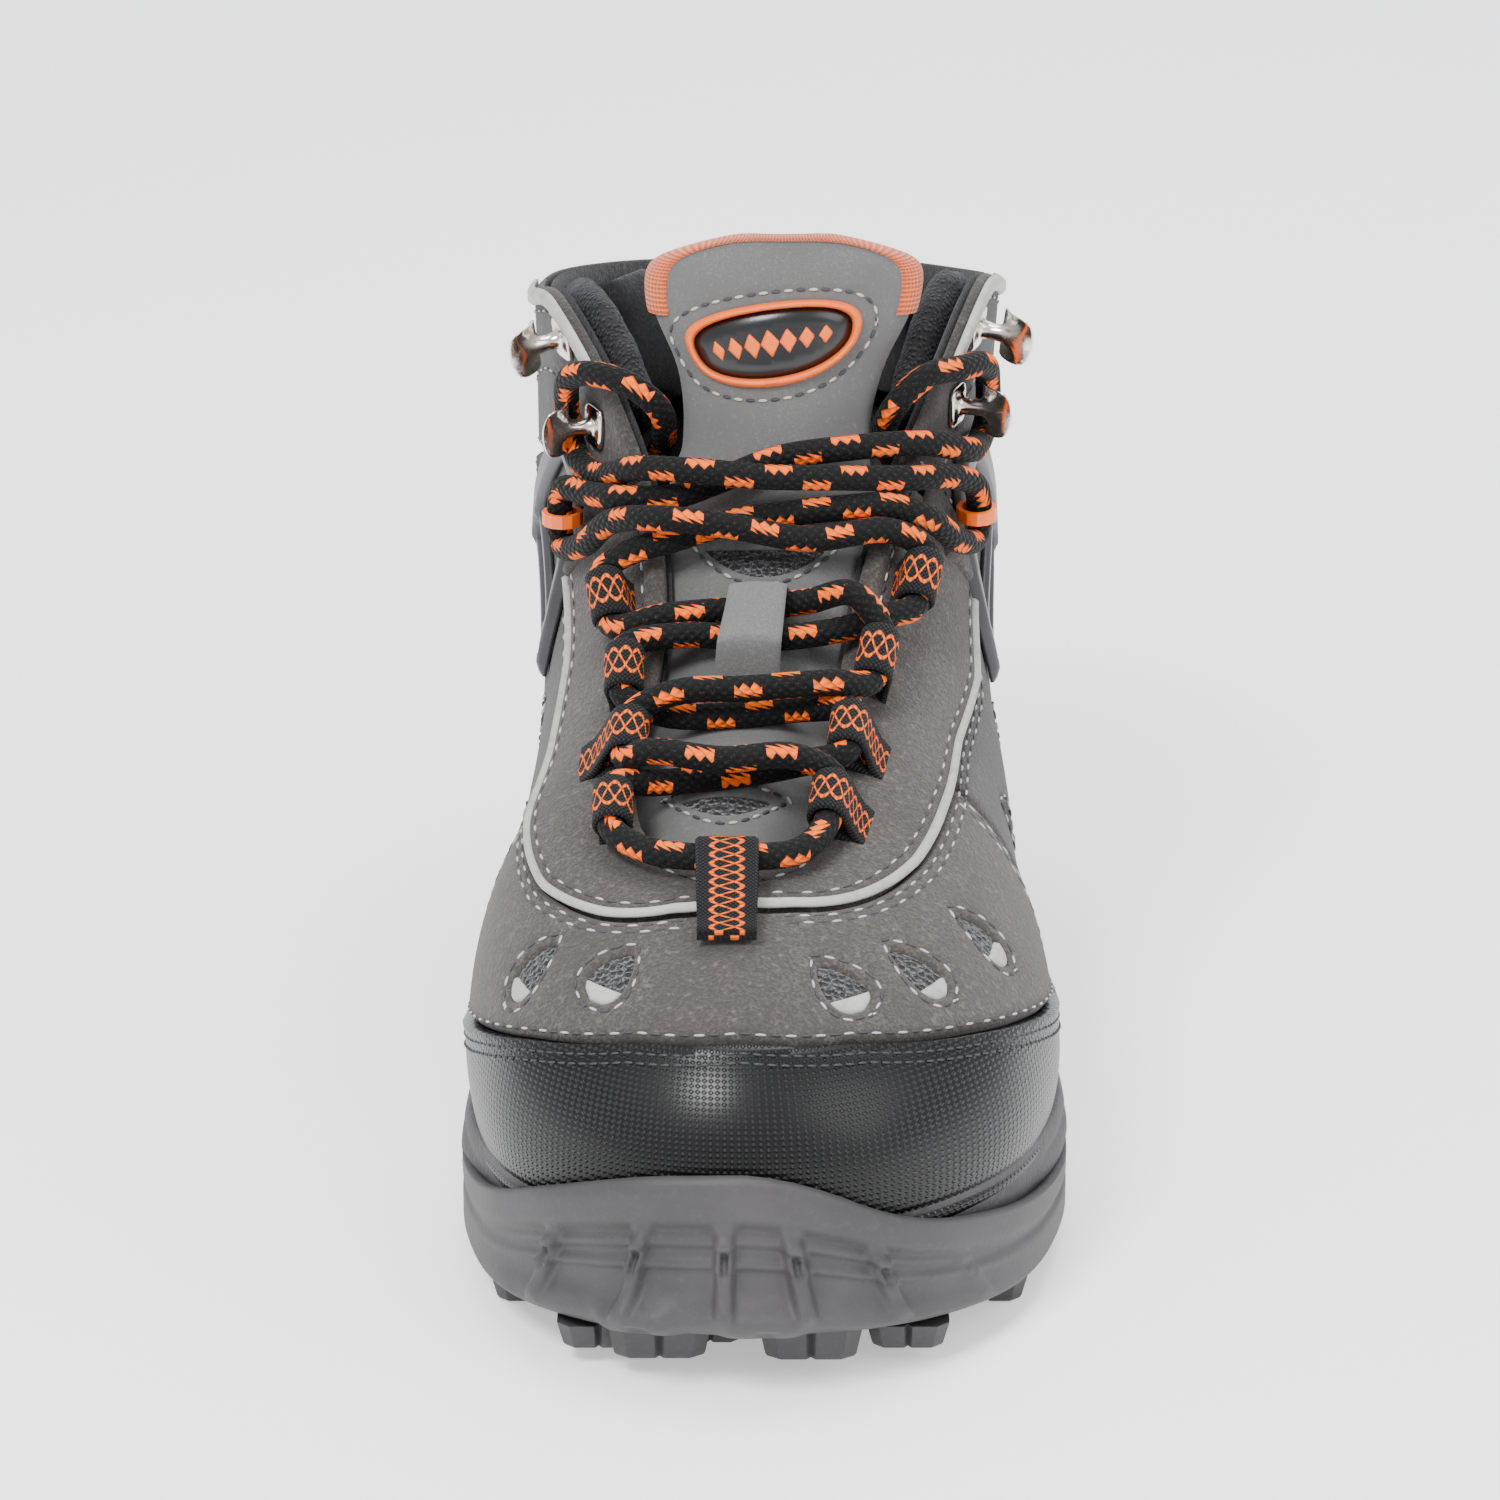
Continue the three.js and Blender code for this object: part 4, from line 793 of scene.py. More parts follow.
def cut_sheet(outline, holes, creases, step, edge):
    """Flat points and triangles of a sheet with holes, finer along its rims and creases."""
    rims = []
    for rim in [outline, *holes]:
        rim = resample(rim, min(step, 1.6), closed=True)
        rims.append(rim if turns_left(rim) else rim[::-1])
    points, edges = [], []

    def clear(spots, margin):
        keep = within(spots, rims[0])
        for k, rim in enumerate(rims):
            if k:
                keep &= ~within(spots, rim)
            keep &= distance_to(spots, rim, closed=True) > margin
        return spots[keep]

    for rim in rims:
        first = len(points)
        points += list(rim)
        edges += [(first + k, first + (k + 1) % len(rim)) for k in range(len(rim))]
    for inset in (0.35 * edge, edge):
        for k, rim in enumerate(rims):
            points += list(clear(shifted(rim, -inset if k else inset), 0.9 * inset))
    lines = [resample(line, min(step, 1.6)) for line in creases]
    for line in lines:
        for amount in (0.0, 0.9, -0.9):
            points += list(clear(shifted(line, amount, closed=False), 1.15 * edge))
    low, high = rims[0].min(0), rims[0].max(0)
    across = np.arange(low[0], high[0], step)
    up = np.arange(low[1], high[1], step * 0.87)
    field = np.stack(np.meshgrid(across, up), -1)
    field[1::2, :, 0] += step / 2
    field = clear(field.reshape(-1, 2), edge + 0.45 * step)
    for line in lines:
        field = field[distance_to(field, line) > 0.9 + 0.45 * step]
    points = np.array(points + list(field))
    spots, _, faces, *_ = delaunay_2d_cdt([Vector(p) for p in points], edges, [], 0, 1e-4)
    spots = np.array([tuple(p) for p in spots])
    faces = np.array([tuple(face) for face in faces if len(face) == 3])
    middle = spots[faces].mean(1)
    keep = within(middle, rims[0])
    for rim in rims[1:]:
        keep &= ~within(middle, rim)
    return spots, faces[keep], rims, lines


def sewn_panel(name, surface, outline, finish_name, low, high, holes=(), creases=(), edge=1.5, step=None,
               groove=0.35, relief=None, **settings):
    """A sheet of material laid on a surface: rounded at its rims and drawn in along its creases."""
    step = step or bpy.context.scene.boot_sizes.sheet_step / MM
    spots, faces, rims, lines = cut_sheet(np.asarray(outline, float), holes, creases, step, edge)
    gap = np.min([distance_to(spots, rim, closed=True) for rim in rims], axis=0)
    lift = low + (high - low) * (0.3 + 0.7 * np.sin(math.pi / 2 * np.clip(gap / edge, 0, 1)))
    for line in lines:
        lift -= groove * np.exp(-(distance_to(spots, line) / 0.8) ** 2)
    if relief is not None:
        lift += relief(spots) * np.clip(gap / edge, 0, 1)
    front, back = surface(spots, lift), surface(spots, np.full(len(spots), low))
    count = len(spots)
    sides = {(a, b) for face in faces for a, b in zip(face, np.roll(face, -1))}
    walls = [(b, a, count + a, count + b) for a, b in sides if (b, a) not in sides]
    walls.sort()
    every = [tuple(f) for f in faces] + [tuple(count + v for v in f[::-1]) for f in faces] + walls
    uv = np.concatenate([spots, spots]) * MM
    return new_piece(name, np.concatenate([front, back]), every, finish_name, uv=uv, **settings)


# Flat millimetres of the upper and of the tongue, from their places and shares.
UPPER_FLAT = np.array([28.0, 100.0])
TONGUE_FLAT = np.array([25.0, 13.0])


def on_upper(spots, lift):
    """Points of the upper under flat spots."""
    return shell(spots[:, 0] / UPPER_FLAT[0], spots[:, 1] / UPPER_FLAT[1], lift)


def on_tongue(spots, lift):
    """Points of the tongue under flat spots."""
    return tongue_face(spots[:, 1] / TONGUE_FLAT[1], spots[:, 0] / TONGUE_FLAT[0], lift)


def flat(*spots):
    """Places and shares of the upper as flat millimetres."""
    return np.array(spots, float) * UPPER_FLAT


def band_outline(start, end, low, high, count=40):
    """Outline of a panel between two seams, each a height for every place."""
    places = np.linspace(start, end, count)
    sides = np.linspace(0, 1, 12)[1:-1]
    left = [(start, low(start) + (high(start) - low(start)) * s) for s in sides[::-1]]
    right = [(end, low(end) + (high(end) - low(end)) * s) for s in sides]
    return flat(*[(w, low(w)) for w in places], *right, *[(w, high(w)) for w in places[::-1]], *left)


# ---------------------------------------------------------------- stitches

def socket_name(tree, name):
    """Identifier of an input of a node group, from its label."""
    return next(item.identifier for item in tree.interface.items_tree
                if item.item_type == "SOCKET" and item.in_out == "INPUT" and item.name == name)


def stitch_tree():
    """Lays one slim stitch after another along every line of a wire mesh."""
    name = "stitch_rows"
    if name in bpy.data.node_groups:
        return bpy.data.node_groups[name]
    tree = bpy.data.node_groups.new(name, "GeometryNodeTree")
    tree.interface.new_socket("Wire", in_out="INPUT", socket_type="NodeSocketGeometry")
    for label, value in (("Pitch", 0.0027), ("Length", 0.002), ("Thickness", 0.0005)):
        socket = tree.interface.new_socket(label, in_out="INPUT", socket_type="NodeSocketFloat")
        socket.default_value = value
    tree.interface.new_socket("Material", in_out="INPUT", socket_type="NodeSocketMaterial")
    tree.interface.new_socket("Stitches", in_out="OUTPUT", socket_type="NodeSocketGeometry")
    given = add(tree, "NodeGroupInput").outputs
    curve = add(tree, "GeometryNodeMeshToCurve", {"Mesh": given["Wire"]}).outputs["Curve"]
    spots = add(tree, "GeometryNodeCurveToPoints", {"Curve": curve, "Length": given["Pitch"]}, mode="LENGTH")
    number = add(tree, "GeometryNodeInputIndex").outputs[0]
    tone = add(tree, "ShaderNodeMath", {0: number, 1: 2.0}, operation="MODULO").outputs[0]
    marked = add(tree, "GeometryNodeStoreNamedAttribute", {
        "Geometry": spots.outputs["Points"], "Name": "tone", "Value": tone}, data_type="FLOAT", domain="POINT")
    bead = add(tree, "GeometryNodeMeshUVSphere", {"Segments": 6, "Rings": 4, "Radius": 0.5}).outputs["Mesh"]
    size = add(tree, "ShaderNodeCombineXYZ", {
        0: given["Thickness"], 1: given["Thickness"], 2: given["Length"]}).outputs[0]
    laid = add(tree, "GeometryNodeInstanceOnPoints", {
        "Points": marked.outputs[0], "Instance": bead, "Rotation": spots.outputs["Rotation"], "Scale": size})
    real = add(tree, "GeometryNodeRealizeInstances", {0: laid.outputs[0]}).outputs[0]
    painted = add(tree, "GeometryNodeSetMaterial", {"Geometry": real, "Material": given["Material"]}).outputs[0]
    add(tree, "NodeGroupOutput", {"Stitches": painted})
    return tree


def stitches(name, lines, finish_name="thread", body="boot", pitch=None, length=0.8, thick=None, slot=None):
    """Rows of stitches along lines of points, in metres, made one plain mesh."""
    sizes = bpy.context.scene.boot_sizes
    pitch = pitch or sizes.stitch_pitch
    points, edges = [], []
    for line in lines:
        first = len(points)
        points += np.asarray(line).tolist()
        edges += [(first + k, first + k + 1) for k in range(len(line) - 1)]
    mesh = bpy.data.meshes.new(name)
    mesh.from_pydata(points, edges, [])
    wire = bpy.data.objects.new(name, mesh)
    bpy.context.scene.collection.objects.link(wire)
    tree = stitch_tree()
    modifier = wire.modifiers.new("stitches", "NODES")
    modifier.node_group = tree
    values = {"Pitch": pitch, "Length": pitch * length, "Thickness": thick or sizes.thread,
              "Material": finish(finish_name)}
    for key, value in values.items():
        modifier[socket_name(tree, key)] = value
    wire.update_tag()
    bpy.context.view_layer.update()
    seen = wire.evaluated_get(bpy.context.evaluated_depsgraph_get())
    made = bpy.data.meshes.new_from_object(seen)
    wire.modifiers.remove(modifier)
    wire.data = made
    bpy.data.meshes.remove(mesh)
    made.polygons.foreach_set("use_smooth", [True] * len(made.polygons))
    settle(wire, body, slot=slot)
    return wire


def seam(surface, line, lift, step=1.2):
    """A flat line laid on a surface, as points in metres."""
    even = resample(line, step)
    return surface(even, np.full(len(even), lift))


# ---------------------------------------------------------------- seams of the upper

def through(line):
    """A height for every place, straight between the given ones."""
    places = sorted(line)
    return lambda w: np.interp(w, places, [line[k] for k in places])


RAND_TOP = through({0: 0.48, 1: 0.45, 2: 0.36, 3: 0.25, 4: 0.16, 5: 0.12})
EYESTAY_LATERAL = through({0: 0.87, 1: 0.84, 2: 0.78, 3: 0.72, 4: 0.68, 5: 0.62, 6: 0.53, 7.4: 0.5})
EYESTAY_MEDIAL = through({0: 0.87, 1: 0.82, 2: 0.73, 3: 0.66, 4: 0.63, 5: 0.62, 6: 0.6, 7.4: 0.52})
SIDES = {"lateral": 1, "medial": -1}
VAMP_END = 4.4
EYESTAY_END = 7.2
FLAP = (7.3, 10.4)
COUNTER_START = 9.7
QUARTER_TOP = 0.5
FOOT_LOW = 0.006
TOP_HIGH = 0.985

# Almond openings of the vamp and slots of the quarters: place, share of height, length, width, lean.
VENTS = [
    (1.05, 0.6, 13, 7, 0.35), (1.85, 0.56, 14, 6, 0.3), (2.8, 0.5, 14, 6, 0.2),
    (-1.45, 0.6, 13, 7, -0.35), (-2.4, 0.5, 14, 6, -0.3),
]
SLOTS = [(5.4, 0.3, 16, 4, 0.6), (6.6, 0.28, 16, 4, 0.6)]


def eyestay_low(w):
    """Height of the lower edge of the eyestay at places of either side."""
    return np.where(np.asarray(w) < 0, EYESTAY_MEDIAL(np.abs(w)), EYESTAY_LATERAL(np.abs(w)))


def spot_scale(w, h):
    """Millimetres for each place across the upper and for its whole height, around a spot."""
    here, side, above = (shell(a, b) for a, b in ((w, h), (w + 0.02, h), (w, h + 0.01)))
    across, up = (side - here) / MM, (above - here) / MM
    return np.linalg.norm(across) / 0.02, np.linalg.norm(up) / 0.01


def almond(w, h, length, width, lean, grow=0.0):
    """Flat outline of a pointed oval of real size on the upper."""
    across, up = spot_scale(w, h)
    t = np.linspace(0, 1, 15)
    length, width = length + 2 * grow, width / 2 + grow
    y = -length / 2 + length * t
    x = width * 2 * np.sqrt(t) * (1 - t) ** 0.8 * 1.3
    side = np.concatenate([np.stack([x, y], 1), np.stack([-x, y], 1)[::-1][1:-1]])
    turn = np.array([[math.cos(lean), math.sin(lean)], [-math.sin(lean), math.cos(lean)]])
    real = side @ turn
    return np.stack([w + real[:, 0] / across, h + real[:, 1] / up], 1) * UPPER_FLAT


def looped(ring):
    """A closed outline with its first point repeated at its end."""
    return np.vstack([ring, ring[:1]])


def row_along(start, end, height, count=40):
    """Flat line along the upper at a height for every place."""
    places = np.linspace(start, end, count)
    return flat(*[(w, height(w)) for w in places])


# ---------------------------------------------------------------- lace

LOOPS = {
    "medial_1": [[-28, -82, 83.5], [-28, -71, 88]], "lateral_1": [[11, -81, 84], [12.5, -69, 89]],
    "medial_2": [[-26, -64.5, 91], [-25, -54, 95.5]], "lateral_2": [[15, -62, 91.3], [16, -52, 95.5]],
    "medial_3": [[-26.5, -46, 96.5], [-26.5, -36, 102.5]], "lateral_3": [[20, -43.5, 98.5], [22, -34, 105]],
    "medial_4": [[-29, -25, 103], [-31, -15, 110.5]], "lateral_4": [[28.5, -21, 105.5], [31, -11, 113]],
    "toe": [[-12.5, -92, 82], [-1.5, -92, 82]],
}
FRAME_TURNS = {
    "medial": [[-39.5, 12, 107], [-39.5, 12, 118]],
    "lateral": [[41.5, 13, 118], [41.5, 14, 108]],
}
LACE_ROUTE = [
    [-42, -30, 43], [-40, -14, 43], [-38, 2, 44], [-37, 18, 46], [-35, 34, 48],
    [-35, 50, 49], [-35, 64, 54], [-36, 71, 66], [-37, 64, 79], [-36, 53, 92],
    [-32, 42, 104], [-26, 31, 114], [-20.5, 20, 124],
    [-19.5, 12, 131], [-20.5, 8, 136], [-26, 7, 141], [-33, 11, 142], [-38, 18, 139], [-38.8, 23, 132.5],
    [-38.1, 21.8, 127], [-36.3, 17, 122.6], [-32, 8, 122.5],
    [-24, -5, 128], [-11, -12, 129.5], [0, -12, 128.5], [14, -9.5, 127.5], [28, -4, 125.7], [36, 4.5, 123.3],
    *FRAME_TURNS["lateral"], [37.5, 4, 110.5],
    [31, -6, 118.5], [24, -8.5, 121.6], [15, -10.5, 121.8], [5, -11.5, 121], [-6, -12, 119.5],
    [-17, -15, 117], [-26, -15.3, 114.3],
    *LOOPS["medial_4"][::-1],
    [-19, -29, 106.3], [-5, -27, 107], [8, -27, 108.5], [16.5, -31, 111.5],
    *LOOPS["lateral_3"][::-1],
    [12, -50, 100.5], [-3, -52, 100], [-17, -53, 99.5],
    *LOOPS["medial_2"][::-1],
    [-21, -68, 93.5], [-8, -71, 93], [5, -70, 93.3],
    *LOOPS["lateral_1"][::-1],
    [6, -89, 82], *LOOPS["toe"][::-1], [-21, -89, 82],
    *LOOPS["medial_1"],
    [-20, -66, 86.5], [-5, -64.5, 87.5], [7, -63.5, 89.5],
    *LOOPS["lateral_2"],
    [8, -48, 94.5], [-6, -49, 93.5], [-19, -49.5, 94],
    *LOOPS["medial_3"],
    [-16, -33.5, 104], [0, -34, 103.5], [14, -31, 104.2], [23.5, -25.5, 105.3],
    *LOOPS["lateral_4"],
    [24, -13, 118], [8, -18, 118], [-7, -19, 121], [-20, -19, 122.5], [-29.5, -8.5, 118.3], [-35, 1.5, 110.5],
    *FRAME_TURNS["medial"],
    [-34, 3.5, 120], [-27, -5, 122], [-18, -7, 122.8], [-9, -5.5, 125.5],
    [2, -4, 129.5], [17, -3, 131.5], [31, 3, 130.5], [40, 13, 126], [42, 22, 124.5],
    [44, 30, 128], [44, 30, 135], [43, 24, 140], [38, 15, 142], [31, 9, 142], [25.5, 7.5, 137],
    [23.3, 12, 130], [25.5, 22, 121], [31, 33, 112], [34, 44, 101],
    [37, 55, 90], [38, 65, 79], [37, 71, 67], [36, 64, 55], [37, 50, 49],
    [37, 34, 48], [39, 18, 46], [41, 2, 44], [42, -14, 43], [43, -30, 43],
]


def lace_line(points, per=24):
    """Smooth line through points, its parameter following the square root of their spacing."""
    points = np.asarray(points, float)
    ends = np.vstack([2 * points[0] - points[1], points, 2 * points[-1] - points[-2]])
    line = []
    for k in range(1, len(ends) - 2):
        p = ends[k - 1:k + 3]
        knots = np.concatenate([[0.0], np.cumsum(np.sqrt(np.linalg.norm(np.diff(p, axis=0), axis=1)))])
        t = np.linspace(knots[1], knots[2], per, endpoint=False)[:, None]

        def between(a, b, i, j):
            return ((knots[j] - t) * a + (t - knots[i]) * b) / (knots[j] - knots[i])

        first, second, third = (between(p[i], p[i + 1], i, i + 1) for i in range(3))
        line.append(between(between(first, second, 0, 2), between(second, third, 1, 3), 1, 2))
    return np.vstack([*line, points[-1:]])


def carried_frames(line):
    """Tangents of a line with side and up directions that turn as little as they can along it."""
    along = unit(np.gradient(line, axis=0))
    up = unit(np.cross(along[0], np.cross([0.0, 0.0, 1.0], along[0]) + 1e-6))
    ups = []
    for t in along:
        up = unit(up - t * (up @ t))
        ups.append(up)
    ups = np.array(ups)
    return along, np.cross(along, ups), ups


def tube_faces(rings, sides):
    """Faces of a tube of rings of points, with a face that closes each end."""
    faces = [(i * sides + j, i * sides + (j + 1) % sides, (i + 1) * sides + (j + 1) % sides, (i + 1) * sides + j)
             for i in range(rings - 1) for j in range(sides)]
    return faces + [tuple(range(sides))[::-1], tuple((rings - 1) * sides + j for j in range(sides))]


def tube(name, line, radius, sides, finish_name, **settings):
    """A round tube along a line in metres; its map runs along it in metres and once round it."""
    _, side, up = carried_frames(line)
    turns = np.linspace(0, 2 * math.pi, sides, endpoint=False)
    rings = (line[:, None] + radius * (np.cos(turns)[None, :, None] * up[:, None]
                                       - np.sin(turns)[None, :, None] * side[:, None]))
    count = len(line)
    piece = new_piece(name, rings.reshape(-1, 3), tube_faces(count, sides), finish_name, body=None)
    far = np.concatenate([[0.0], np.cumsum(np.linalg.norm(np.diff(line, axis=0), axis=1))])
    layer = piece.data.uv_layers.new(name="surface")
    corners = []
    for i in range(count - 1):
        for j in range(sides):
            corners += [(far[i], j / sides), (far[i], (j + 1) / sides),
                        (far[i + 1], (j + 1) / sides), (far[i + 1], j / sides)]
    corners += [(0.0, 0.0)] * sides + [(far[-1], 0.0)] * sides
    layer.data.foreach_set("uv", np.array(corners, np.float32).ravel())
    piece.data.validate()
    settle(piece, **settings)
    return piece, float(far[-1])


# ---------------------------------------------------------------- pieces

class BootTask:
    """What every task of this add-on shares."""
    bl_options = {"REGISTER", "UNDO"}


class BOOT_OT_stage(BootTask, Operator):
    """Make the camera, the floor, the backdrop light and the lamps"""
    bl_idname = "boot.stage"
    bl_label = "Stage"

    def execute(self, context):
        scene = context.scene
        target = Vector((-0.00285, -0.035, 0.0800))
        rise = math.radians(20.5)
        reach = 1.15
        data = bpy.data.cameras.new("camera")
        data.lens = 145.2
        data.sensor_width = 36.0
        data.clip_start, data.clip_end = 0.05, 20.0
        camera = bpy.data.objects.new("camera", data)
        camera.location = target + Vector((0.0, -math.cos(rise) * reach, math.sin(rise) * reach))
        camera.rotation_euler = (math.pi / 2 - rise, 0.0, 0.0)
        data.shift_y = 0.0047
        scene.collection.objects.link(camera)
        scene.camera = camera

        size = 6.0
        corners = [(-size, -size, 0.0), (size, -size, 0.0), (size, size, 0.0), (-size, size, 0.0)]
        floor = new_piece("floor", corners, [(0, 1, 2, 3)], "floor", body=None)

        world = bpy.data.worlds.new("pale_room")
        world.use_nodes = True
        world.node_tree.nodes["Background"].inputs["Color"].default_value = (0.93, 0.95, 1.0, 1.0)
        world.node_tree.nodes["Background"].inputs["Strength"].default_value = 1.15
        scene.world = world
        lamps = {
            "key": ((-0.5, -0.9, 1.2), 0.5, 26.0),
            "fill": ((0.95, -0.75, 0.8), 0.9, 8.0),
            "top": ((0.1, 0.15, 1.5), 0.9, 16.0),
            "rim": ((0.3, 1.2, 0.9), 1.0, 6.0),
        }
        for name, (spot, width, power) in lamps.items():
            light = bpy.data.lights.new(name, "AREA")
            light.shape = "DISK"
            light.size = width
            light.energy = power
            lamp = bpy.data.objects.new(name, light)
            lamp.location = spot
            lamp.rotation_euler = (target - lamp.location).to_track_quat("-Z", "Y").to_euler()
            scene.collection.objects.link(lamp)
        return {"FINISHED"}


class BOOT_OT_lace(BootTask, Operator):
    """Braid the lace through its loops and paint its tips and eyelets"""
    bl_idname = "boot.lace"
    bl_label = "Lace"

    def execute(self, context):
        step = context.scene.boot_sizes.lace_step
        line = resample(lace_line(LACE_ROUTE) * MM, step)
        lace, length = tube("lace_braid", line, LACE / 2 * MM, 18, "braid", body="boot",
                            stands_for=["lace"], slot="lace_yarn")
        tips = [NODES["aglet_medial"], NODES["aglet_lateral"]]
        for tip in tips:
            paint(tip, "accent_rubber")
        for side in SIDES:
            paint(NODES[f"eyelet_{side}"], "accent_rubber")
        return {"FINISHED"}


def paint(node, finish_name):
    """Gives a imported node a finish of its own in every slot."""
    for slot in node.material_slots:
        slot.material = finish(finish_name)


def loop_section(middle, anchor, along, lift=0.0):
    """Middle line of a folded tape: over the lace and back to where it is sewn down."""
    away = unit(anchor - middle - along * ((anchor - middle) @ along))
    up = np.cross(away, along)
    up = up if up @ (UP + [0, -0.6, 0]) > 0 else -up
    radius = LACE / 2 + 0.75 + lift
    far = np.linalg.norm(anchor - middle - along * ((anchor - middle) @ along))
    points = [(far + 5, 0.7), (far + 1, 0.7), (far - 1.5, 1.4)]
    lean = math.asin(min(0.9, (radius - 0.7) / max(far, radius + 1)))
    for turn in np.linspace(math.pi / 2 - lean, 3 * math.pi / 2 + lean, 15):
        points.append((radius * math.cos(turn), radius * math.sin(turn)))
    points += [(far - 1.5, -0.9), (far + 1, -0.5), (far + 5, -0.5)]
    section = resample(np.array(points), 0.7, count=40)
    return middle + section[:, :1] * away + section[:, 1:] * up


def ribbon(name, lines, thick, finish_name, map_along, map_across, **settings):
    """A tape whose long edges and rows between them are given lines, with a thickness."""
    grid = np.asarray(lines)
    around = np.gradient(grid, axis=0)
    along = np.gradient(grid, axis=1)
    normal = unit(np.cross(around, along))
    front, back = grid + normal * thick / 2, grid - normal * thick / 2
    rows, columns = grid.shape[:2]
    far = np.stack(np.meshgrid(map_across, map_along, indexing="ij"), -1)[..., ::-1].reshape(-1, 2)
    points = np.concatenate([front.reshape(-1, 3), back.reshape(-1, 3)]) * MM
    return new_piece(name, points, skin_faces(rows, columns), finish_name,
                     uv=np.concatenate([far, far]) * MM, **settings)


class BOOT_OT_loops(BootTask, Operator):
    """Fold the webbing loops over the lace and bring their ends down onto the upper"""
    bl_idname = "boot.loops"
    bl_label = "Lace loops"

    def execute(self, context):
        places = np.linspace(-7.2, 7.2, 400)
        top = shell(places, np.full(400, 0.97), 1.0) / MM
        for name, stretch in LOOPS.items():
            low, high = np.array(stretch, float)
            middle = (low + high) / 2
            along = unit(high - low)
            near = places[np.argmin(np.linalg.norm(top - middle, axis=1))]
            drop = 0.79 if name == "toe" else 0.885
            lift = 3.2 if name == "toe" else 1.9
            near = -0.1 if name == "toe" else near
            anchor = shell(near, drop, lift) / MM
            width = 10.7 if name == "toe" else 10.2
            spans = np.array([-0.5, -0.47, -0.3, -0.1, 0.1, 0.3, 0.47, 0.5]) * width
            thin = np.array([0.35, 0, 0, 0, 0, 0, 0, 0.35])
            lines = [loop_section(middle, anchor, along, -t) + along * s for s, t in zip(spans, thin)]
            far = np.concatenate([[0.0], np.cumsum(np.linalg.norm(np.diff(lines[3], axis=0), axis=1))])
            ribbon(f"loop_tape_{name}", lines, 1.1, "tape", far - far[-1] / 2, spans,
                   stands_for=[f"loop_{name}"], slot="webbing")
        return {"FINISHED"}


class BOOT_OT_lining(BootTask, Operator):
    """Lay the brushed lining inside the upper and the mesh behind its openings"""
    bl_idname = "boot.lining"
    bl_label = "Lining"

    def execute(self, context):
        w = np.linspace(0, TURN, 208, endpoint=False)[:, None]
        h = np.linspace(FOOT_LOW, TOP_HIGH, 26)[None, :]
        round_top = 0.9 * np.clip((h - 0.965) / 0.02, 0, 1) ** 2
        skin("lining_cloth", shell(w, h, -2.3 - round_top), shell(w, h, LINING_IN + round_top), "fleece",
             ring=True, stands_for=["lining"], slot="mesh_cloth")
        for k, vent in enumerate(VENTS):
            sewn_panel(f"vent_mesh_{k + 1}", on_upper, almond(*vent, grow=1.8), "spacer_mesh", -2.1, -0.75,
                       edge=2.5, step=1.3, slot="mesh_cloth",
                       relief=lambda spots: 0.25 * np.sin(spots[:, 0] * 2.1) * np.sin(spots[:, 1] * 1.9))
        for side, s in SIDES.items():
            for k, (w, h, long, wide, lean) in enumerate(SLOTS):
                sewn_panel(f"slot_mesh_{side}_{k + 1}", on_upper, almond(s * w, h, long, wide, s * lean, grow=1.5),
                           "spacer_mesh", -2.1, -0.9, edge=2.0, step=1.4, slot="mesh_cloth")
        return {"FINISHED"}


class BOOT_OT_toe(BootTask, Operator):
    """Cut the toe rand and the vamp with its openings, light tips and stitch rows"""
    bl_idname = "boot.toe"
    bl_label = "Toe"

    def execute(self, context):
        rand_top = lambda w: float(RAND_TOP(abs(w)))
        outline = band_outline(-VAMP_END, VAMP_END, lambda w: -0.11 * min(1.0, max(0.0, 4.2 - abs(w))), rand_top, 70)
        lip = row_along(-VAMP_END, VAMP_END, lambda w: rand_top(w) - 0.012, 70)

        def folded(spots):
            gap = distance_to(spots, lip)
            return 0.55 * np.exp(-(gap / 1.3) ** 2)

        sewn_panel("toe_rand_sheet", on_upper, outline, "rand", -SUEDE, 0.9, edge=1.2, step=2.2, relief=folded,
                   stands_for=["toe_rand"], slot="rand_rubber")
        rows = [row_along(-VAMP_END + 0.05, VAMP_END - 0.05, lambda w, d=d: rand_top(w) - d, 160)
                for d in (0.035, 0.06)]
        stitches("rand_stitches", [seam(on_upper, row, 1.0) for row in rows], "dark_thread",
                 pitch=0.0024, slot="rand_rubber")

        holes = [almond(*vent) for vent in VENTS]
        top = lambda w: float(eyestay_low(w)) - 0.004
        low = lambda w: rand_top(w) + 0.004
        around = [almond(*vent, grow=2.0) for vent in VENTS]
        outline = band_outline(-VAMP_END, VAMP_END, low, top, 70)
        closed = [looped(ring) for ring in around]
        sewn_panel("vamp_suede", on_upper, outline, "suede", -SUEDE, 0.35, holes=holes, creases=closed, edge=1.6,
                   step=2.4, groove=0.3, stands_for=["vamp"], slot="suede")
        stitches("vent_stitches", [seam(on_upper, ring, 0.2, 0.8) for ring in closed],
                 pitch=0.0026, slot="suede")
        rows = [row_along(-VAMP_END + 0.05, VAMP_END - 0.05, lambda w: rand_top(w) + 0.022, 160)]
        stitches("vamp_stitches", [seam(on_upper, row, 0.4) for row in rows], slot="suede")
        for k, (w, h, long, wide, lean) in enumerate(VENTS):
            ring = almond(w, h, long, wide, lean, grow=0.5)
            _, up = spot_scale(w, h)
            cut_at = h * 100 - 0.16 * long / up * 100
            part = ring[ring[:, 1] < cut_at]
            if len(part) > 4:
                sewn_panel(f"vent_tip_{k + 1}", on_upper, part, "light_trim", -1.6, -0.1, edge=0.7, step=1.0,
                           slot="light_trim")
        return {"FINISHED"}


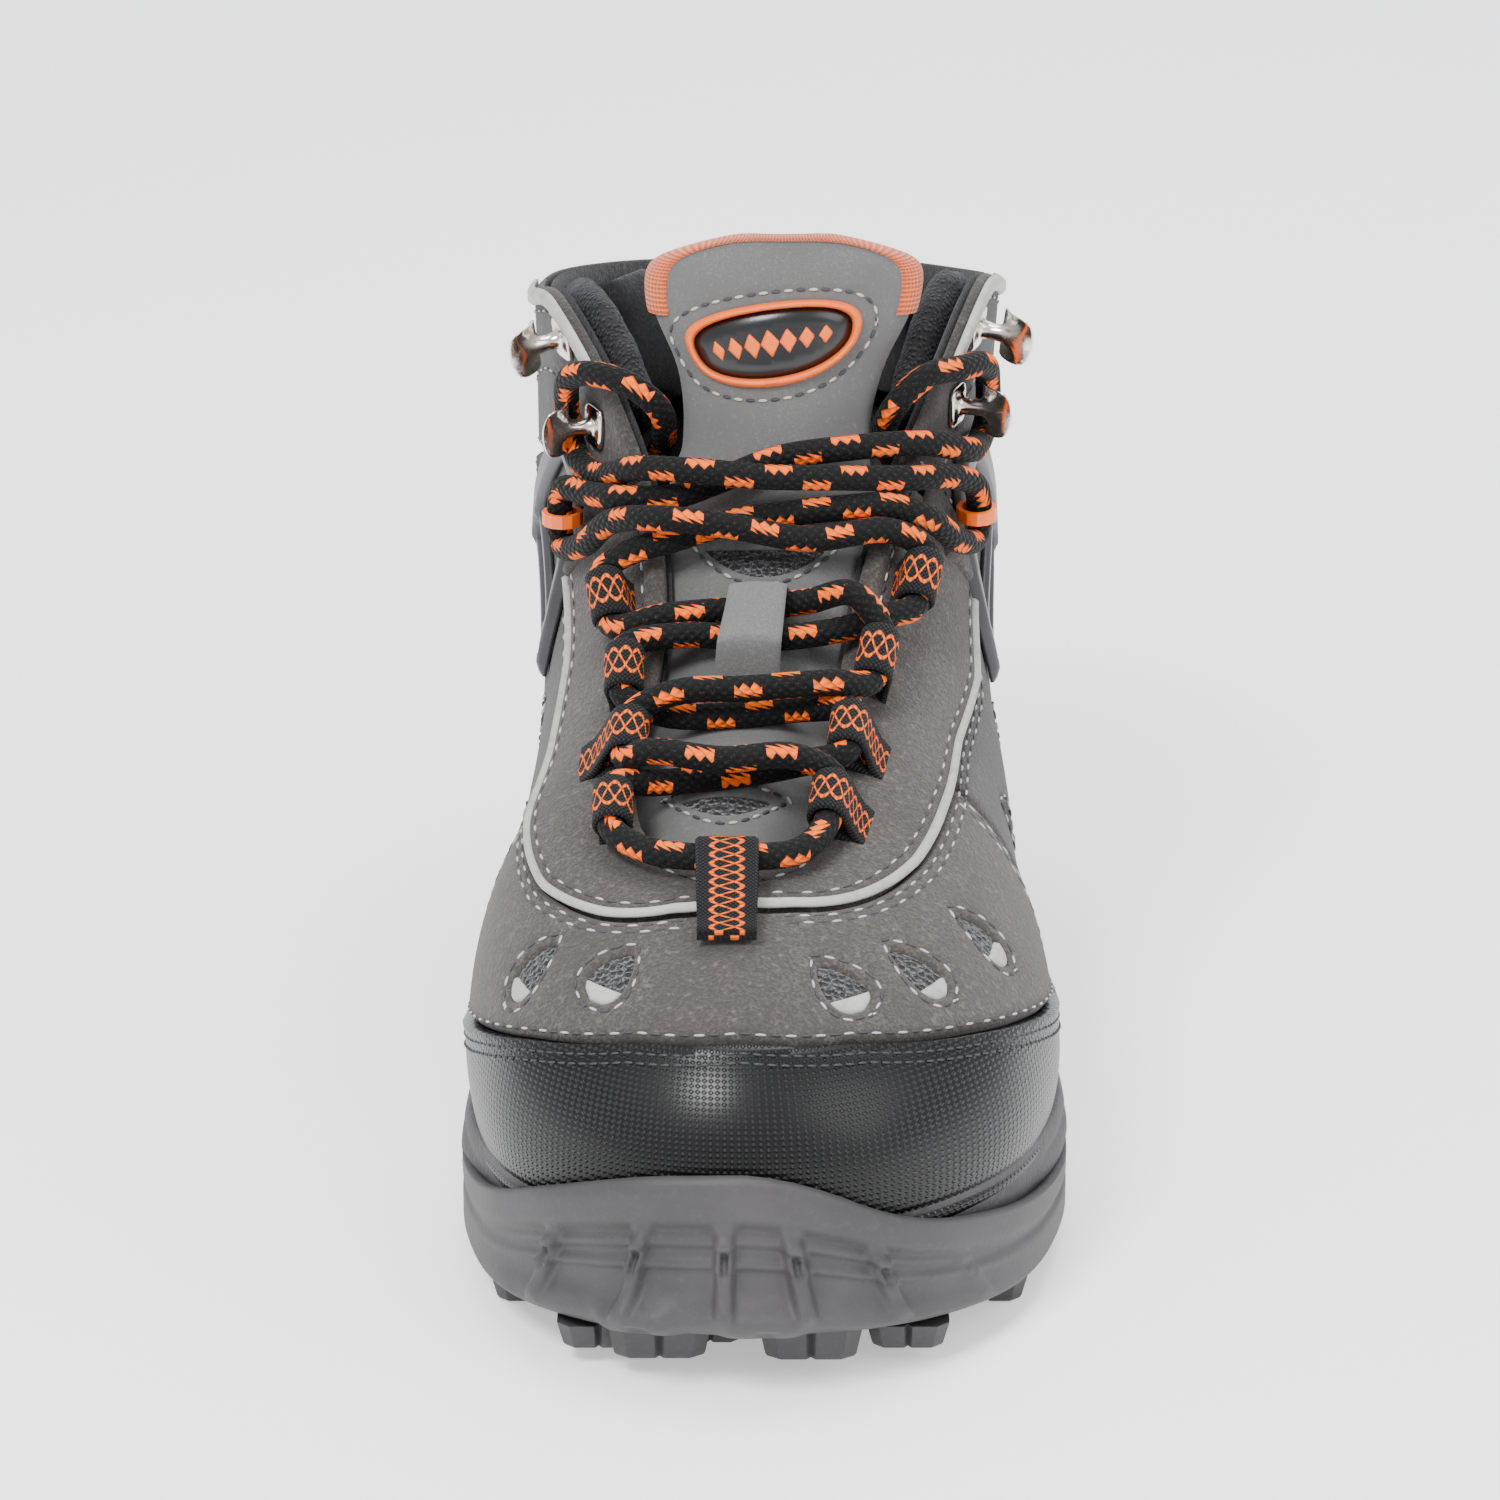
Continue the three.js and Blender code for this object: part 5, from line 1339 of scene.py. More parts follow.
class BOOT_OT_eyestay(BootTask, Operator):
    """Cut the eyestay, its pale piping and its stitch rows"""
    bl_idname = "boot.eyestay"
    bl_label = "Eyestay"

    def execute(self, context):
        low = lambda w: float(eyestay_low(w))
        outline = band_outline(-EYESTAY_END, EYESTAY_END, low, lambda w: TOP_HIGH, 110)
        inner = row_along(-EYESTAY_END, EYESTAY_END, lambda w: 0.93, 150)
        sewn_panel("eyestay_suede", on_upper, outline, "suede", -SUEDE, 1.15, creases=[inner], edge=1.5, step=2.2,
                   groove=0.35, stands_for=["eyestay_lateral", "eyestay_medial"], slot="suede")
        stitches("throat_stitches", [seam(on_upper, inner, 1.0)], slot="suede")
        piping = band_outline(-EYESTAY_END, EYESTAY_END, lambda w: low(w) - 0.008, lambda w: low(w) + 0.016, 130)
        sewn_panel("piping_strip", on_upper, piping, "light_trim", 0.7, 2.1, edge=1.1, step=0.9,
                   stands_for=["piping_lateral", "piping_medial"], slot="light_trim")
        rows = []
        for s in (1, -1):
            for d in (-0.03, -0.052):
                rows.append(row_along(s * 0.9, s * 7.0, lambda w, d=d: low(w) + d, 120))
            rows.append(row_along(s * 0.9, s * 7.0, lambda w: low(w) + 0.036, 120))
        lifts = [0.35, 0.35, 1.2] * 2
        stitches("eyestay_stitches", [seam(on_upper, row, lift) for row, lift in zip(rows, lifts)],
                 slot="suede")
        return {"FINISHED"}


class BOOT_OT_quarters(BootTask, Operator):
    """Cut the quarters, heel counter, heel cover, ankle flaps and collar trims"""
    bl_idname = "boot.quarters"
    bl_label = "Quarters and heel"

    def execute(self, context):
        for side, s in SIDES.items():
            top = lambda w: max(float(eyestay_low(w)), QUARTER_TOP) - 0.004 if abs(w) < EYESTAY_END \
                else QUARTER_TOP - 0.004
            a, b = sorted((s * (VAMP_END + 0.02), s * (COUNTER_START - 0.02)))
            outline = band_outline(a, b, lambda w: FOOT_LOW, top, 60)
            holes = [almond(s * w, h, long, wide, s * lean) for w, h, long, wide, lean in SLOTS]
            rings = [almond(s * w, h, long, wide, s * lean, grow=1.8) for w, h, long, wide, lean in SLOTS]
            closed = [looped(ring) for ring in rings]
            sewn_panel(f"quarter_suede_{side}", on_upper, outline, "dark_suede", -SUEDE, 0.25, holes=holes,
                       creases=closed, edge=1.6, step=2.8, stands_for=[f"quarter_{side}"],
                       slot="dark_suede")
            edge = [flat((s * (VAMP_END + d), 0.05), (s * (VAMP_END + d), 0.4), (s * (VAMP_END + d), 0.62))
                    for d in (-0.1, -0.19)]
            stitches(f"quarter_stitches_{side}", [seam(on_upper, row, 0.3) for row in closed + edge],
                     slot="dark_suede")
            a, b = sorted((s * FLAP[0], s * FLAP[1]))
            outline = band_outline(a, b, lambda w: QUARTER_TOP + 0.004, lambda w: TOP_HIGH, 40)
            sewn_panel(f"flap_suede_{side}", on_upper, outline, "dark_suede", -SUEDE, 0.3, edge=1.8, step=2.6,
                       stands_for=[f"ankle_flap_{side}"], slot="dark_suede")
            rows = [flat((s * (FLAP[0] + 0.1), 0.54), (s * (FLAP[0] + 0.1), 0.95)),
                    row_along(s * (FLAP[0] + 0.1), s * FLAP[1], lambda w: QUARTER_TOP + 0.03),
                    row_along(s * 9.0, s * FLAP[1], lambda w: 0.915),
                    row_along(s * 7.5, s * FLAP[1], lambda w: 0.78 - 0.03 * (abs(w) - 7.5))]
            stitches(f"flap_stitches_{side}", [seam(on_upper, row, 0.35) for row in rows],
                     slot="dark_suede")
            a, b = sorted((s * 8.15, s * FLAP[1]))
            outline = band_outline(a, b, lambda w: 0.935, lambda w: TOP_HIGH, 24)
            sewn_panel(f"collar_strip_{side}", on_upper, outline, "light_trim", 0.2, 1.7, edge=1.3, step=1.6,
                       stands_for=[f"collar_trim_{side}"], slot="light_trim")
            tail = flat((s * 7.35, 0.55), (s * 7.3, 0.7), (s * 7.34, 0.86), (s * 7.05, 0.86), (s * 7.12, 0.74),
                        (s * 6.85, 0.7), (s * 6.98, 0.55))
            sewn_panel(f"notched_tab_{side}", on_upper, tail, "suede", 1.0, 2.3, edge=1.0, step=1.4,
                       slot="suede")
        outline = band_outline(COUNTER_START, TURN - COUNTER_START, lambda w: FOOT_LOW,
                               lambda w: QUARTER_TOP - 0.004, 60)
        sewn_panel("counter_suede", on_upper, outline, "suede", -SUEDE, 1.1, edge=1.6, step=2.8,
                   stands_for=["heel_counter"], slot="suede")
        outline = band_outline(FLAP[1] + 0.02, TURN - FLAP[1] - 0.02, lambda w: QUARTER_TOP + 0.004,
                               lambda w: TOP_HIGH, 50)
        sewn_panel("heel_cover_suede", on_upper, outline, "dark_suede", -SUEDE, 0.3, edge=1.8, step=2.8,
                   stands_for=["heel_cover"], slot="dark_suede")
        rows = [row_along(COUNTER_START + 0.1, TURN - COUNTER_START - 0.1, lambda w, d=d: QUARTER_TOP - d, 120)
                for d in (0.035, 0.055)]
        rows += [flat((COUNTER_START + 0.12, 0.04), (COUNTER_START + 0.12, 0.46)),
                 flat((TURN - COUNTER_START - 0.12, 0.04), (TURN - COUNTER_START - 0.12, 0.46))]
        rows += [row_along(FLAP[1] + 0.1, TURN - FLAP[1] - 0.1, lambda w, h=h: h, 90) for h in (0.54, 0.92)]
        lifts = [1.15] * 4 + [0.35] * 2
        stitches("heel_stitches", [seam(on_upper, row, lift) for row, lift in zip(rows, lifts)],
                 slot="dark_suede")
        return {"FINISHED"}


HOOKS = {
    "medial_lower": (-7.8, 0.84), "medial_upper": (-8.7, 0.9),
    "lateral_lower": (8.05, 0.83), "lateral_upper": (8.7, 0.9),
}
# Sections of a speed hook from its base outwards: distance out, half width, squareness, saddle.
HOOK_RINGS = [
    (0.0, 4.0, 5, 0), (0.5, 4.1, 5, 0), (0.95, 3.9, 5, 0), (1.1, 3.2, 4, 0), (1.2, 2.3, 3, 0), (1.9, 1.8, 2, 0),
    (3.6, 1.6, 2, 0), (5.0, 1.8, 2, 0), (5.9, 2.6, 3, 0.2), (6.5, 3.9, 5, 0.7), (6.9, 4.55, 6, 1.1),
    (7.25, 4.75, 7, 1.2), (7.6, 4.75, 7, 1.2), (7.85, 4.45, 6, 1.2), (7.8, 3.6, 5, 1.0), (7.45, 2.6, 4, 0.8),
    (7.2, 1.2, 3, 0.4), (7.15, 0.3, 2, 0),
]
# How far the cap of a hook is turned towards the toe.
HOOK_TURN = math.radians(42)


class BOOT_OT_frames(BootTask, Operator):
    """Mould the ankle frames and press the speed hooks"""
    bl_idname = "boot.frames"
    bl_label = "Ankle frames and hooks"

    def execute(self, context):
        for side, s in SIDES.items():
            def slanted(*spots):
                line = np.array([(s * w + s * 1.4 * (h - 0.6), h) for w, h in spots], float)
                return line * UPPER_FLAT
            corner = [(6.95, 0.36), (8.8, 0.36), (8.72, 0.48), (8.2, 0.66), (7.75, 0.73), (7.4, 0.73), (7.15, 0.64),
                      (6.95, 0.48)]
            outline = rounded(slanted(*corner), 1.6)
            window = rounded(slanted((7.15, 0.44), (8.5, 0.44), (7.9, 0.64), (7.45, 0.66)), 1.2)
            slot = rounded(slanted((7.15, 0.385), (8.6, 0.385), (8.56, 0.415), (7.15, 0.415)), 0.7)
            sewn_panel(f"frame_moulding_{side}", on_upper, outline, "frame_plastic", 0.6, 3.0,
                       holes=[window, slot], edge=1.7, step=1.3,
                       stands_for=[f"ankle_frame_{side}"], slot="frame_plastic")
        for name, (w, h) in HOOKS.items():
            ahead = shell(w, h, 1.0) - shell(w, h, 0.0)
            normal = unit(ahead)
            across = unit(np.cross(UP, normal))
            up = np.cross(normal, across)
            base = shell(w, h, 0.5)
            rings = []
            turns = np.linspace(0, 2 * math.pi, 40, endpoint=False)
            for out, half, corner, sag in HOOK_RINGS:
                c, d = np.cos(turns), np.sin(turns)
                reach = (np.abs(c) ** corner + np.abs(d) ** corner) ** (-1 / corner) * half
                x, y = reach * c, reach * d
                lift = sag * (x * x - y * y) / 20
                share = min(1.0, max(0.0, (out - 3.0) / 3.6))
                turn_by = (1 if w < 0 else -1) * HOOK_TURN * share * share * (3 - 2 * share)
                side = across * math.cos(turn_by) + normal * math.sin(turn_by)
                ahead = normal * math.cos(turn_by) - across * math.sin(turn_by)
                middle = base + MM * (out + 0.6 * share) * normal
                rings.append(middle + MM * (x[:, None] * side + y[:, None] * up + lift[:, None] * ahead))
            rings = np.array(rings)
            new_piece(f"hook_plate_{name}", rings.reshape(-1, 3), tube_faces(len(rings), len(turns)), "nickel",
                      stands_for=[f"hook_{name}"], slot="nickel")
        return {"FINISHED"}


def rounded(outline, radius):
    """A closed outline with its corners cut round."""
    line = resample(outline, 0.4, closed=True)
    for _ in range(int(radius * 12)):
        line = (np.roll(line, 1, axis=0) + 2 * line + np.roll(line, -1, axis=0)) / 4
    return line


def puff(piece, cap, pressure=4.0, voxel=0.0036):
    """Swells a closed pad with cloth simulation, no point moving further than the cap, then smooths it."""
    scene = bpy.context.scene
    remesh = piece.modifiers.new("remesh", "REMESH")
    remesh.mode = "VOXEL"
    remesh.voxel_size = voxel
    bake_modifiers(piece)
    rest = np.array([tuple(v.co) for v in piece.data.vertices])
    cloth = piece.modifiers.new("cloth", "CLOTH")
    cloth.settings.use_pressure = True
    cloth.settings.uniform_pressure_force = pressure
    cloth.settings.effector_weights.gravity = 0.0
    cloth.point_cache.frame_start, cloth.point_cache.frame_end = 1, 20
    for number in range(1, 21):
        scene.frame_set(number)
    bake_modifiers(piece)
    scene.frame_set(1)
    now = np.array([tuple(v.co) for v in piece.data.vertices])
    move = now - rest
    far = np.linalg.norm(move, axis=1, keepdims=True)
    now = rest + move * np.minimum(1.0, cap / np.maximum(far, 1e-9))
    piece.data.vertices.foreach_set("co", now.astype(np.float32).ravel())
    relax = piece.modifiers.new("relax", "SMOOTH")
    relax.factor, relax.iterations = 0.5, 8
    smooth = piece.modifiers.new("smooth", "SUBSURF")
    smooth.levels = smooth.render_levels = 1
    bake_modifiers(piece)
    piece.data.polygons.foreach_set("use_smooth", [True] * len(piece.data.polygons))


def bake_modifiers(piece):
    """Replaces a piece's mesh by what its modifiers make of it."""
    bpy.context.view_layer.update()
    made = bpy.data.meshes.new_from_object(piece.evaluated_get(bpy.context.evaluated_depsgraph_get()))
    piece.modifiers.clear()
    piece.data = made


PAD_RINGS = 40
PAD_SIDES = 44


class BOOT_OT_collar(BootTask, Operator):
    """Stuff the collar pads"""
    bl_idname = "boot.collar"
    bl_label = "Collar pads"

    def execute(self, context):
        spans = {
            "lateral": (7.55, 11.15, 0.75), "medial": (TURN - 11.15, TURN - 7.55, 0.75),
            "heel": (11.2, TURN - 11.2, 0.69),
        }
        for name, (start, end, low) in spans.items():
            w = np.linspace(start, end, PAD_RINGS)
            turn = np.linspace(-math.pi, math.pi, PAD_SIDES, endpoint=False)
            rings = []
            for place, share in zip(w, np.linspace(0, 1, PAD_RINGS)):
                close = max(0.12, math.sin(math.pi * min(max(share, 0.0), 1.0)) ** 0.22)
                middle, thick = -8.1, 4.3 * close
                c, d = np.cos(turn), np.sin(turn)
                lift = middle + thick * np.sign(c) * np.abs(c) ** 0.8
                share_up = (low + 1.0) / 2 + (1.0 - low) / 2 * (0.86 + 0.14 * close) * np.sign(d) * np.abs(d) ** 0.6
                rings.append(shell(np.full(PAD_SIDES, place), share_up, lift))
            rings = np.array(rings)
            n = PAD_SIDES
            faces = [(i * n + j, (i + 1) * n + j, (i + 1) * n + (j + 1) % n, i * n + (j + 1) % n)
                     for i in range(PAD_RINGS - 1) for j in range(n)]
            faces += [tuple(range(n)), tuple((PAD_RINGS - 1) * n + j for j in range(n))[::-1]]
            pad = new_piece(f"collar_cushion_{name}", rings.reshape(-1, 3), faces,
                            "fleece" if name == "heel" else "pad_mesh", body=None)
            puff(pad, 0.0016)
            settle(pad, "boot", [f"collar_pad_{name}"], "mesh_cloth")
        return {"FINISHED"}


# Crescent openings of the tongue: place, half width, height up, height down.
WINDOWS = [(5.42, 11.5, 2.6, 3.6), (3.95, 10.5, 2.2, 4.2), (2.35, 8.5, 1.8, 3.4)]


def tongue_spot(x, y, place, u=0.0):
    """Flat millimetres of the tongue from real ones around a place of it."""
    row = blend_rows(TONGUE, np.array(float(place)), closed=False)
    ahead, behind = (tongue_face(place + d, u) for d in (0.2, -0.2))
    up = np.linalg.norm((ahead - behind) / MM) / 0.4
    return np.stack([(u + np.asarray(x) / row[3]) * TONGUE_FLAT[0],
                     (place + np.asarray(y) / up) * TONGUE_FLAT[1]], -1)


def tongue_outline(inset=0.0):
    """Flat outline of the whole tongue, its top rounded."""
    half, top = TONGUE_FLAT[0] - inset, TONGUE_END * TONGUE_FLAT[1] - inset
    turn = np.linspace(0, math.pi, 41)
    cap = np.stack([half * np.sign(np.cos(turn)) * np.abs(np.cos(turn)) ** 0.55,
                    top - 16 + 16 * np.sin(turn) ** 0.75], 1)
    return np.vstack([[(-half, inset), (half, inset)], cap])


BADGE_LONG = 34
BADGE_HIGH = 17
BADGE_PLACE = 8.55


def egg(long, high, fuller=0.12):
    """An oval that is fuller at one end, in millimetres."""
    turn = np.linspace(0, 2 * math.pi, 72, endpoint=False)
    x = long / 2 * np.cos(turn)
    y = high / 2 * np.sign(np.sin(turn)) * np.abs(np.sin(turn)) ** 0.8 * (1 + fuller * np.cos(turn))
    return np.stack([x, y], 1)


def on_badge(line, tilt=0.17):
    """Flat outline on the tongue from millimetres around the middle of the badge."""
    x = line[:, 0] * math.cos(tilt) - line[:, 1] * math.sin(tilt)
    y = line[:, 0] * math.sin(tilt) + line[:, 1] * math.cos(tilt)
    return tongue_spot(x, y, BADGE_PLACE, -0.1)


def badge_oval(grow=0.0):
    """Flat outline of the badge, made longer and higher by so many millimetres."""
    return on_badge(egg(BADGE_LONG + grow, BADGE_HIGH + grow))


class BOOT_OT_tongue(BootTask, Operator):
    """Pad the tongue and sew its face, windows, keeper, badge and binding"""
    bl_idname = "boot.tongue"
    bl_label = "Tongue"

    def execute(self, context):
        outline = tongue_outline(0.6)
        pad = sewn_panel("tongue_cushion", on_tongue, outline, "spacer_mesh", -4.2, -0.6, edge=5.0, step=3.0,
                         body=None)
        smooth = pad.modifiers.new("smooth", "SUBSURF")
        smooth.levels = smooth.render_levels = 1
        bake_modifiers(pad)
        settle(pad, "tongue", ["tongue_lower", "tongue_upper"], "mesh_cloth")

        holes, rings = [], []
        for place, half, high, low in WINDOWS:
            for grow, store in ((0.0, holes), (2.3, rings)):
                x = np.linspace(-1, 1, 21)
                dip = 1 - np.abs(x) ** 2.2
                lower = np.stack([x * (half + 1.3 * grow), -(low + grow) * dip], 1)
                upper = np.stack([x * (half + 1.3 * grow), (high + grow) * dip], 1)[::-1][1:-1]
                line = np.vstack([lower, upper])
                store.append(tongue_spot(line[:, 0], line[:, 1] + 0.028 * line[:, 0] ** 2, place))
        closed = [looped(ring) for ring in rings]
        badge_row = looped(badge_oval(5))
        sewn_panel("tongue_nubuck", on_tongue, tongue_outline(0.0), "nubuck", -0.7, 0.75, holes=holes,
                   creases=[*closed, badge_row], edge=1.8, step=2.4, groove=0.4, body="tongue", slot="nubuck")
        arcs = []
        for place, drop in ((1.72, 3.0), (3.3, 3.4)):
            x = np.linspace(-12, 12, 30)
            arcs.append(tongue_spot(x, -drop + 0.035 * x ** 2, place))
        stitches("tongue_stitches", [seam(on_tongue, line, 0.6, 0.8) for line in [*closed, badge_row, *arcs]],
                 body="tongue", pitch=0.0024, thick=0.0007, slot="nubuck")

        t = np.linspace(0, 1, 33)
        rise = 0.7 + 9.6 * np.minimum(1, np.sin(math.pi * t) * 1.6)
        reach = 4.0 - 0.08 + (1.05 + 0.16) * t
        u = np.linspace(-0.3, 0.3, 13)
        curl = np.where(np.abs(u) > 0.28, 0.45, 0.0)
        front = tongue_face(reach[None, :], u[::-1, None], rise[None, :] + 1.4 - curl[:, None])[::-1]
        back = tongue_face(reach[None, :], u[::-1, None], rise[None, :] + curl[:, None])[::-1]
        skin("keeper_strap", front, back, "nubuck", stands_for=["tongue_keeper"], slot="nubuck")

        sewn_panel("badge_rim", on_tongue, badge_oval(), "accent_rubber", 0.4, 2.9,
                   holes=[badge_oval(-3.4)], edge=0.85, step=1.0, body="tongue_top",
                   stands_for=["badge_ring"], slot="orange_plastic")
        sewn_panel("badge_plate", on_tongue, badge_oval(-3.6), "badge_rubber", 0.4, 1.9, edge=2.4,
                   step=1.2, body="tongue_top", stands_for=["badge"], slot="badge_rubber")
        for k, x in enumerate(np.linspace(-10.5, 10.5, 7)):
            size = 1.9 - 0.09 * abs(x) * 0.6
            shape = np.array([(-size, 0), (0, -1.5 * size), (size, 0), (0, 1.5 * size)]) + [x, 0]
            sewn_panel(f"badge_diamond_{k + 1}", on_tongue, on_badge(shape), "accent_rubber", 1.7, 2.35, edge=0.35,
                       step=0.7, body="tongue_top", slot="orange_plastic")

        rim = tongue_outline(0.0)[2:]
        down = [(rim[0, 0], v) for v in np.linspace(8.9 * TONGUE_FLAT[1], rim[0, 1], 10, endpoint=False)]
        path = resample(np.vstack([down, rim, [(-x, y) for x, y in down[::-1]]]), 0.9)
        inner = shifted(path, 1.0, closed=False) - path
        section = [(2.6, 1.0), (1.9, 1.5), (0.6, 1.6), (-0.7, 0.9), (-1.3, -0.6), (-1.5, -2.4), (-1.2, -4.4),
                   (-0.4, -5.7), (0.8, -6.0), (2.6, -5.8), (3.2, -5.2), (3.2, 0.3)]
        loops = [on_tongue(path + inner * inset, np.full(len(path), lift)) for inset, lift in section]
        grid = np.array(loops).transpose(1, 0, 2)
        rows, columns = grid.shape[:2]
        around = np.linspace(0, 0.02, columns)
        along = np.arange(rows) * 0.0009
        uv = np.stack(np.meshgrid(along, around, indexing="ij"), -1).reshape(-1, 2)
        new_piece("tongue_knit_binding", grid.reshape(-1, 3), tube_faces(rows, columns), "knit", body="tongue_top",
                  stands_for=["tongue_binding"], slot="orange_trim", uv=uv)
        return {"FINISHED"}


# ---------------------------------------------------------------- sole

WALL_LATERAL = through({0: 10, 0.35: 9.5, 0.7: 4, 1.1: -2, 1.7: -6, 2.3: -9, 3: -11, 4: -11, 9: -12, 12: -8, 13: -4})
WALL_MEDIAL = through({0: 10, 0.5: 9.5, 0.9: 8, 1.6: 1.5, 2.2: -5, 3: -8, 4: -9, 9: -12, 12: -8, 13: -4})


def soft(height, reach=0.16):
    """A height for every place with its corners rounded off."""
    return lambda w: sum(height(np.clip(w + d * reach, 0, HEEL)) for d in (-2, -1, 0, 1, 2)) / 5


CLAWS = [(-1.55, -0.35), (-0.78, -0.25), (-0.13, 0.0), (0.36, 0.2), (0.95, 0.35), (1.6, 0.45)]


def tread(y):
    """Height of the tread above the ground, from a distance along the sole."""
    toe = np.maximum(0, -y - 92) / 58
    heel = np.maximum(0, y - 122) / 28
    return 4 + 9 * toe ** 2 + 3 * heel ** 2


def foot_line(w, out):
    """Points around the foot of the upper, moved outwards in millimetres."""
    return bare_upper(w, 0 * w) + outward(w) * np.asarray(out)[..., None]


def ring_piece(name, places, section, finish_name, **settings):
    """A closed ring around the sole: each column of points of the section is its outline at a place."""
    grid = section(places)
    rows, columns = grid.shape[:2]
    faces = [(i * columns + j, ((i + 1) % rows) * columns + j, ((i + 1) % rows) * columns + (j + 1) % columns,
              i * columns + (j + 1) % columns) for i in range(rows) for j in range(columns)]
    return new_piece(name, grid.reshape(-1, 3) * MM, faces, finish_name, **settings)


def outsole_section(places):
    """Outline of the rubber at places around it, with its toe bumper, shelves and claws."""
    away = np.minimum(places, TURN - places)
    signed = np.where(places > HEEL, places - TURN, places)
    foot = bare_upper(places, 0 * places)
    low = tread(foot[:, 1])
    rise = np.where(signed < 0, soft(WALL_MEDIAL)(away), soft(WALL_LATERAL)(away))
    top = foot[:, 2] + rise
    lean = np.maximum(0, rise) * 0.1
    columns = []

    def column(out, z):
        point = foot + outward(places) * np.asarray(out)[..., None] * np.ones((len(places), 1))
        point[:, 2] = z
        columns.append(point)

    column(-8.0, low)
    column(-1.5, low)
    steps = 46
    for k in range(steps):
        t = k / (steps - 1)
        turn = min(1.0, t / 0.16)
        z = low + 0.2 + t * (top - low - 0.2)
        out = 3.4 - 4.2 * (1 - math.sin(math.pi / 2 * turn)) + lean * t
        tall = np.clip((rise + 9) / 12, 0, 1)
        front = tall * np.exp(-(signed / 2.3) ** 8)
        # A rounded band along the rim, shelves under it, and the claws that stand over them.
        out = out + front * 1.3 * np.exp(-((t - 0.86) / 0.14) ** 4)
        out = out - front * 1.0 * np.exp(-((t - 0.5) / 0.22) ** 6)
        for level in (0.62, 0.48):
            out = out + front * 0.9 * np.exp(-((t - level) / 0.035) ** 4)
        out = out + front * 1.2 * np.exp(-((t - 0.14) / 0.14) ** 2)
        for spot, tilt in CLAWS:
            gap = (signed - spot - tilt * (0.45 - t)) * UPPER_FLAT[0]
            body = np.exp(-(gap / 1.9) ** 4) * np.exp(-((t - 0.44) / 0.27) ** 8)
            out = out + front * 2.5 * body
            hollow = np.exp(-(gap / 0.8) ** 4) * np.exp(-((t - 0.5) / 0.07) ** 4)
            out = out - front * 1.8 * hollow
        for spot in (-0.78, 0.12):
            gap = (signed - spot) * UPPER_FLAT[0]
            out = out + front * 2.4 * np.exp(-(gap / 8.0) ** 6) * np.exp(-((t - 0.1) / 0.13) ** 4)
            out = out - front * 1.6 * np.exp(-((gap - 1) / 2.2) ** 4) * np.exp(-((t - 0.06) / 0.05) ** 4)
        out = out - 0.8 * np.exp(-((t - 0.62) / 0.07) ** 2) * (1 - tall)
        column(out, z)
    column(3.0 + lean, top + 0.15)
    column(2.2 + lean, top + 0.25)
    column(1.35 + lean, top)
    column(1.35 + 0 * lean, low + 5)
    column(-0.7 + 0 * lean, low + 3)
    column(-8.0, low + 3)
    return np.array(columns).transpose(1, 0, 2)


def midsole_section(places):
    """Outline of the foam side at places around it, with its two grooves."""
    foot = bare_upper(places, 0 * places)
    low, rim = tread(foot[:, 1]) + 3.6, foot[:, 2] - 0.5
    away = np.minimum(places, TURN - places)
    bulge = np.clip((away - 2.5) / 1.0, 0, 1)
    columns = []
    for k in range(22):
        t = k / 21
        groove = 0.9 * np.exp(-((t - 0.72) / 0.05) ** 2) + 0.5 * np.exp(-((t - 0.45) / 0.04) ** 2)
        out = 0.7 + bulge * (2.9 * math.sin(math.pi * min(1, t * 1.02)) ** 0.35 - groove)
        point = foot + outward(places) * out[:, None]
        point[:, 2] = low + (rim + 1.2 * bulge - low) * t
        columns.append(point)
    for out, z in ((-2.5, rim), (-2.5, low + 1)):
        point = foot + outward(places) * out
        point[:, 2] = z
        columns.append(point)
    return np.array(columns).transpose(1, 0, 2)


def lug_block(x, y, wide, long, top, bottom):
    """A tread block with cut corners, a rounded foot and a shallow groove down its middle."""
    ring = [(-1, -0.7), (-0.7, -1), (-0.1, -1), (0, -0.8), (0.1, -1), (0.7, -1), (1, -0.7), (1, 0.7), (0.7, 1),
            (0.1, 1), (0, 0.8), (-0.1, 1), (-0.7, 1), (-1, 0.7)]
    levels = [(top, 1.0), (bottom + 0.8, 0.86), (bottom + 0.2, 0.82), (bottom, 0.74)]
    points = [(x + a * wide / 2 * size, y + b * long / 2 * size, z) for z, size in levels for a, b in ring]
    n = len(ring)
    faces = [((i + 1) * n + j, (i + 1) * n + (j + 1) % n, i * n + (j + 1) % n, i * n + j)
             for i in range(3) for j in range(n)]
    faces += [tuple(range(n)), tuple(3 * n + j for j in range(n))[::-1]]
    return points, faces


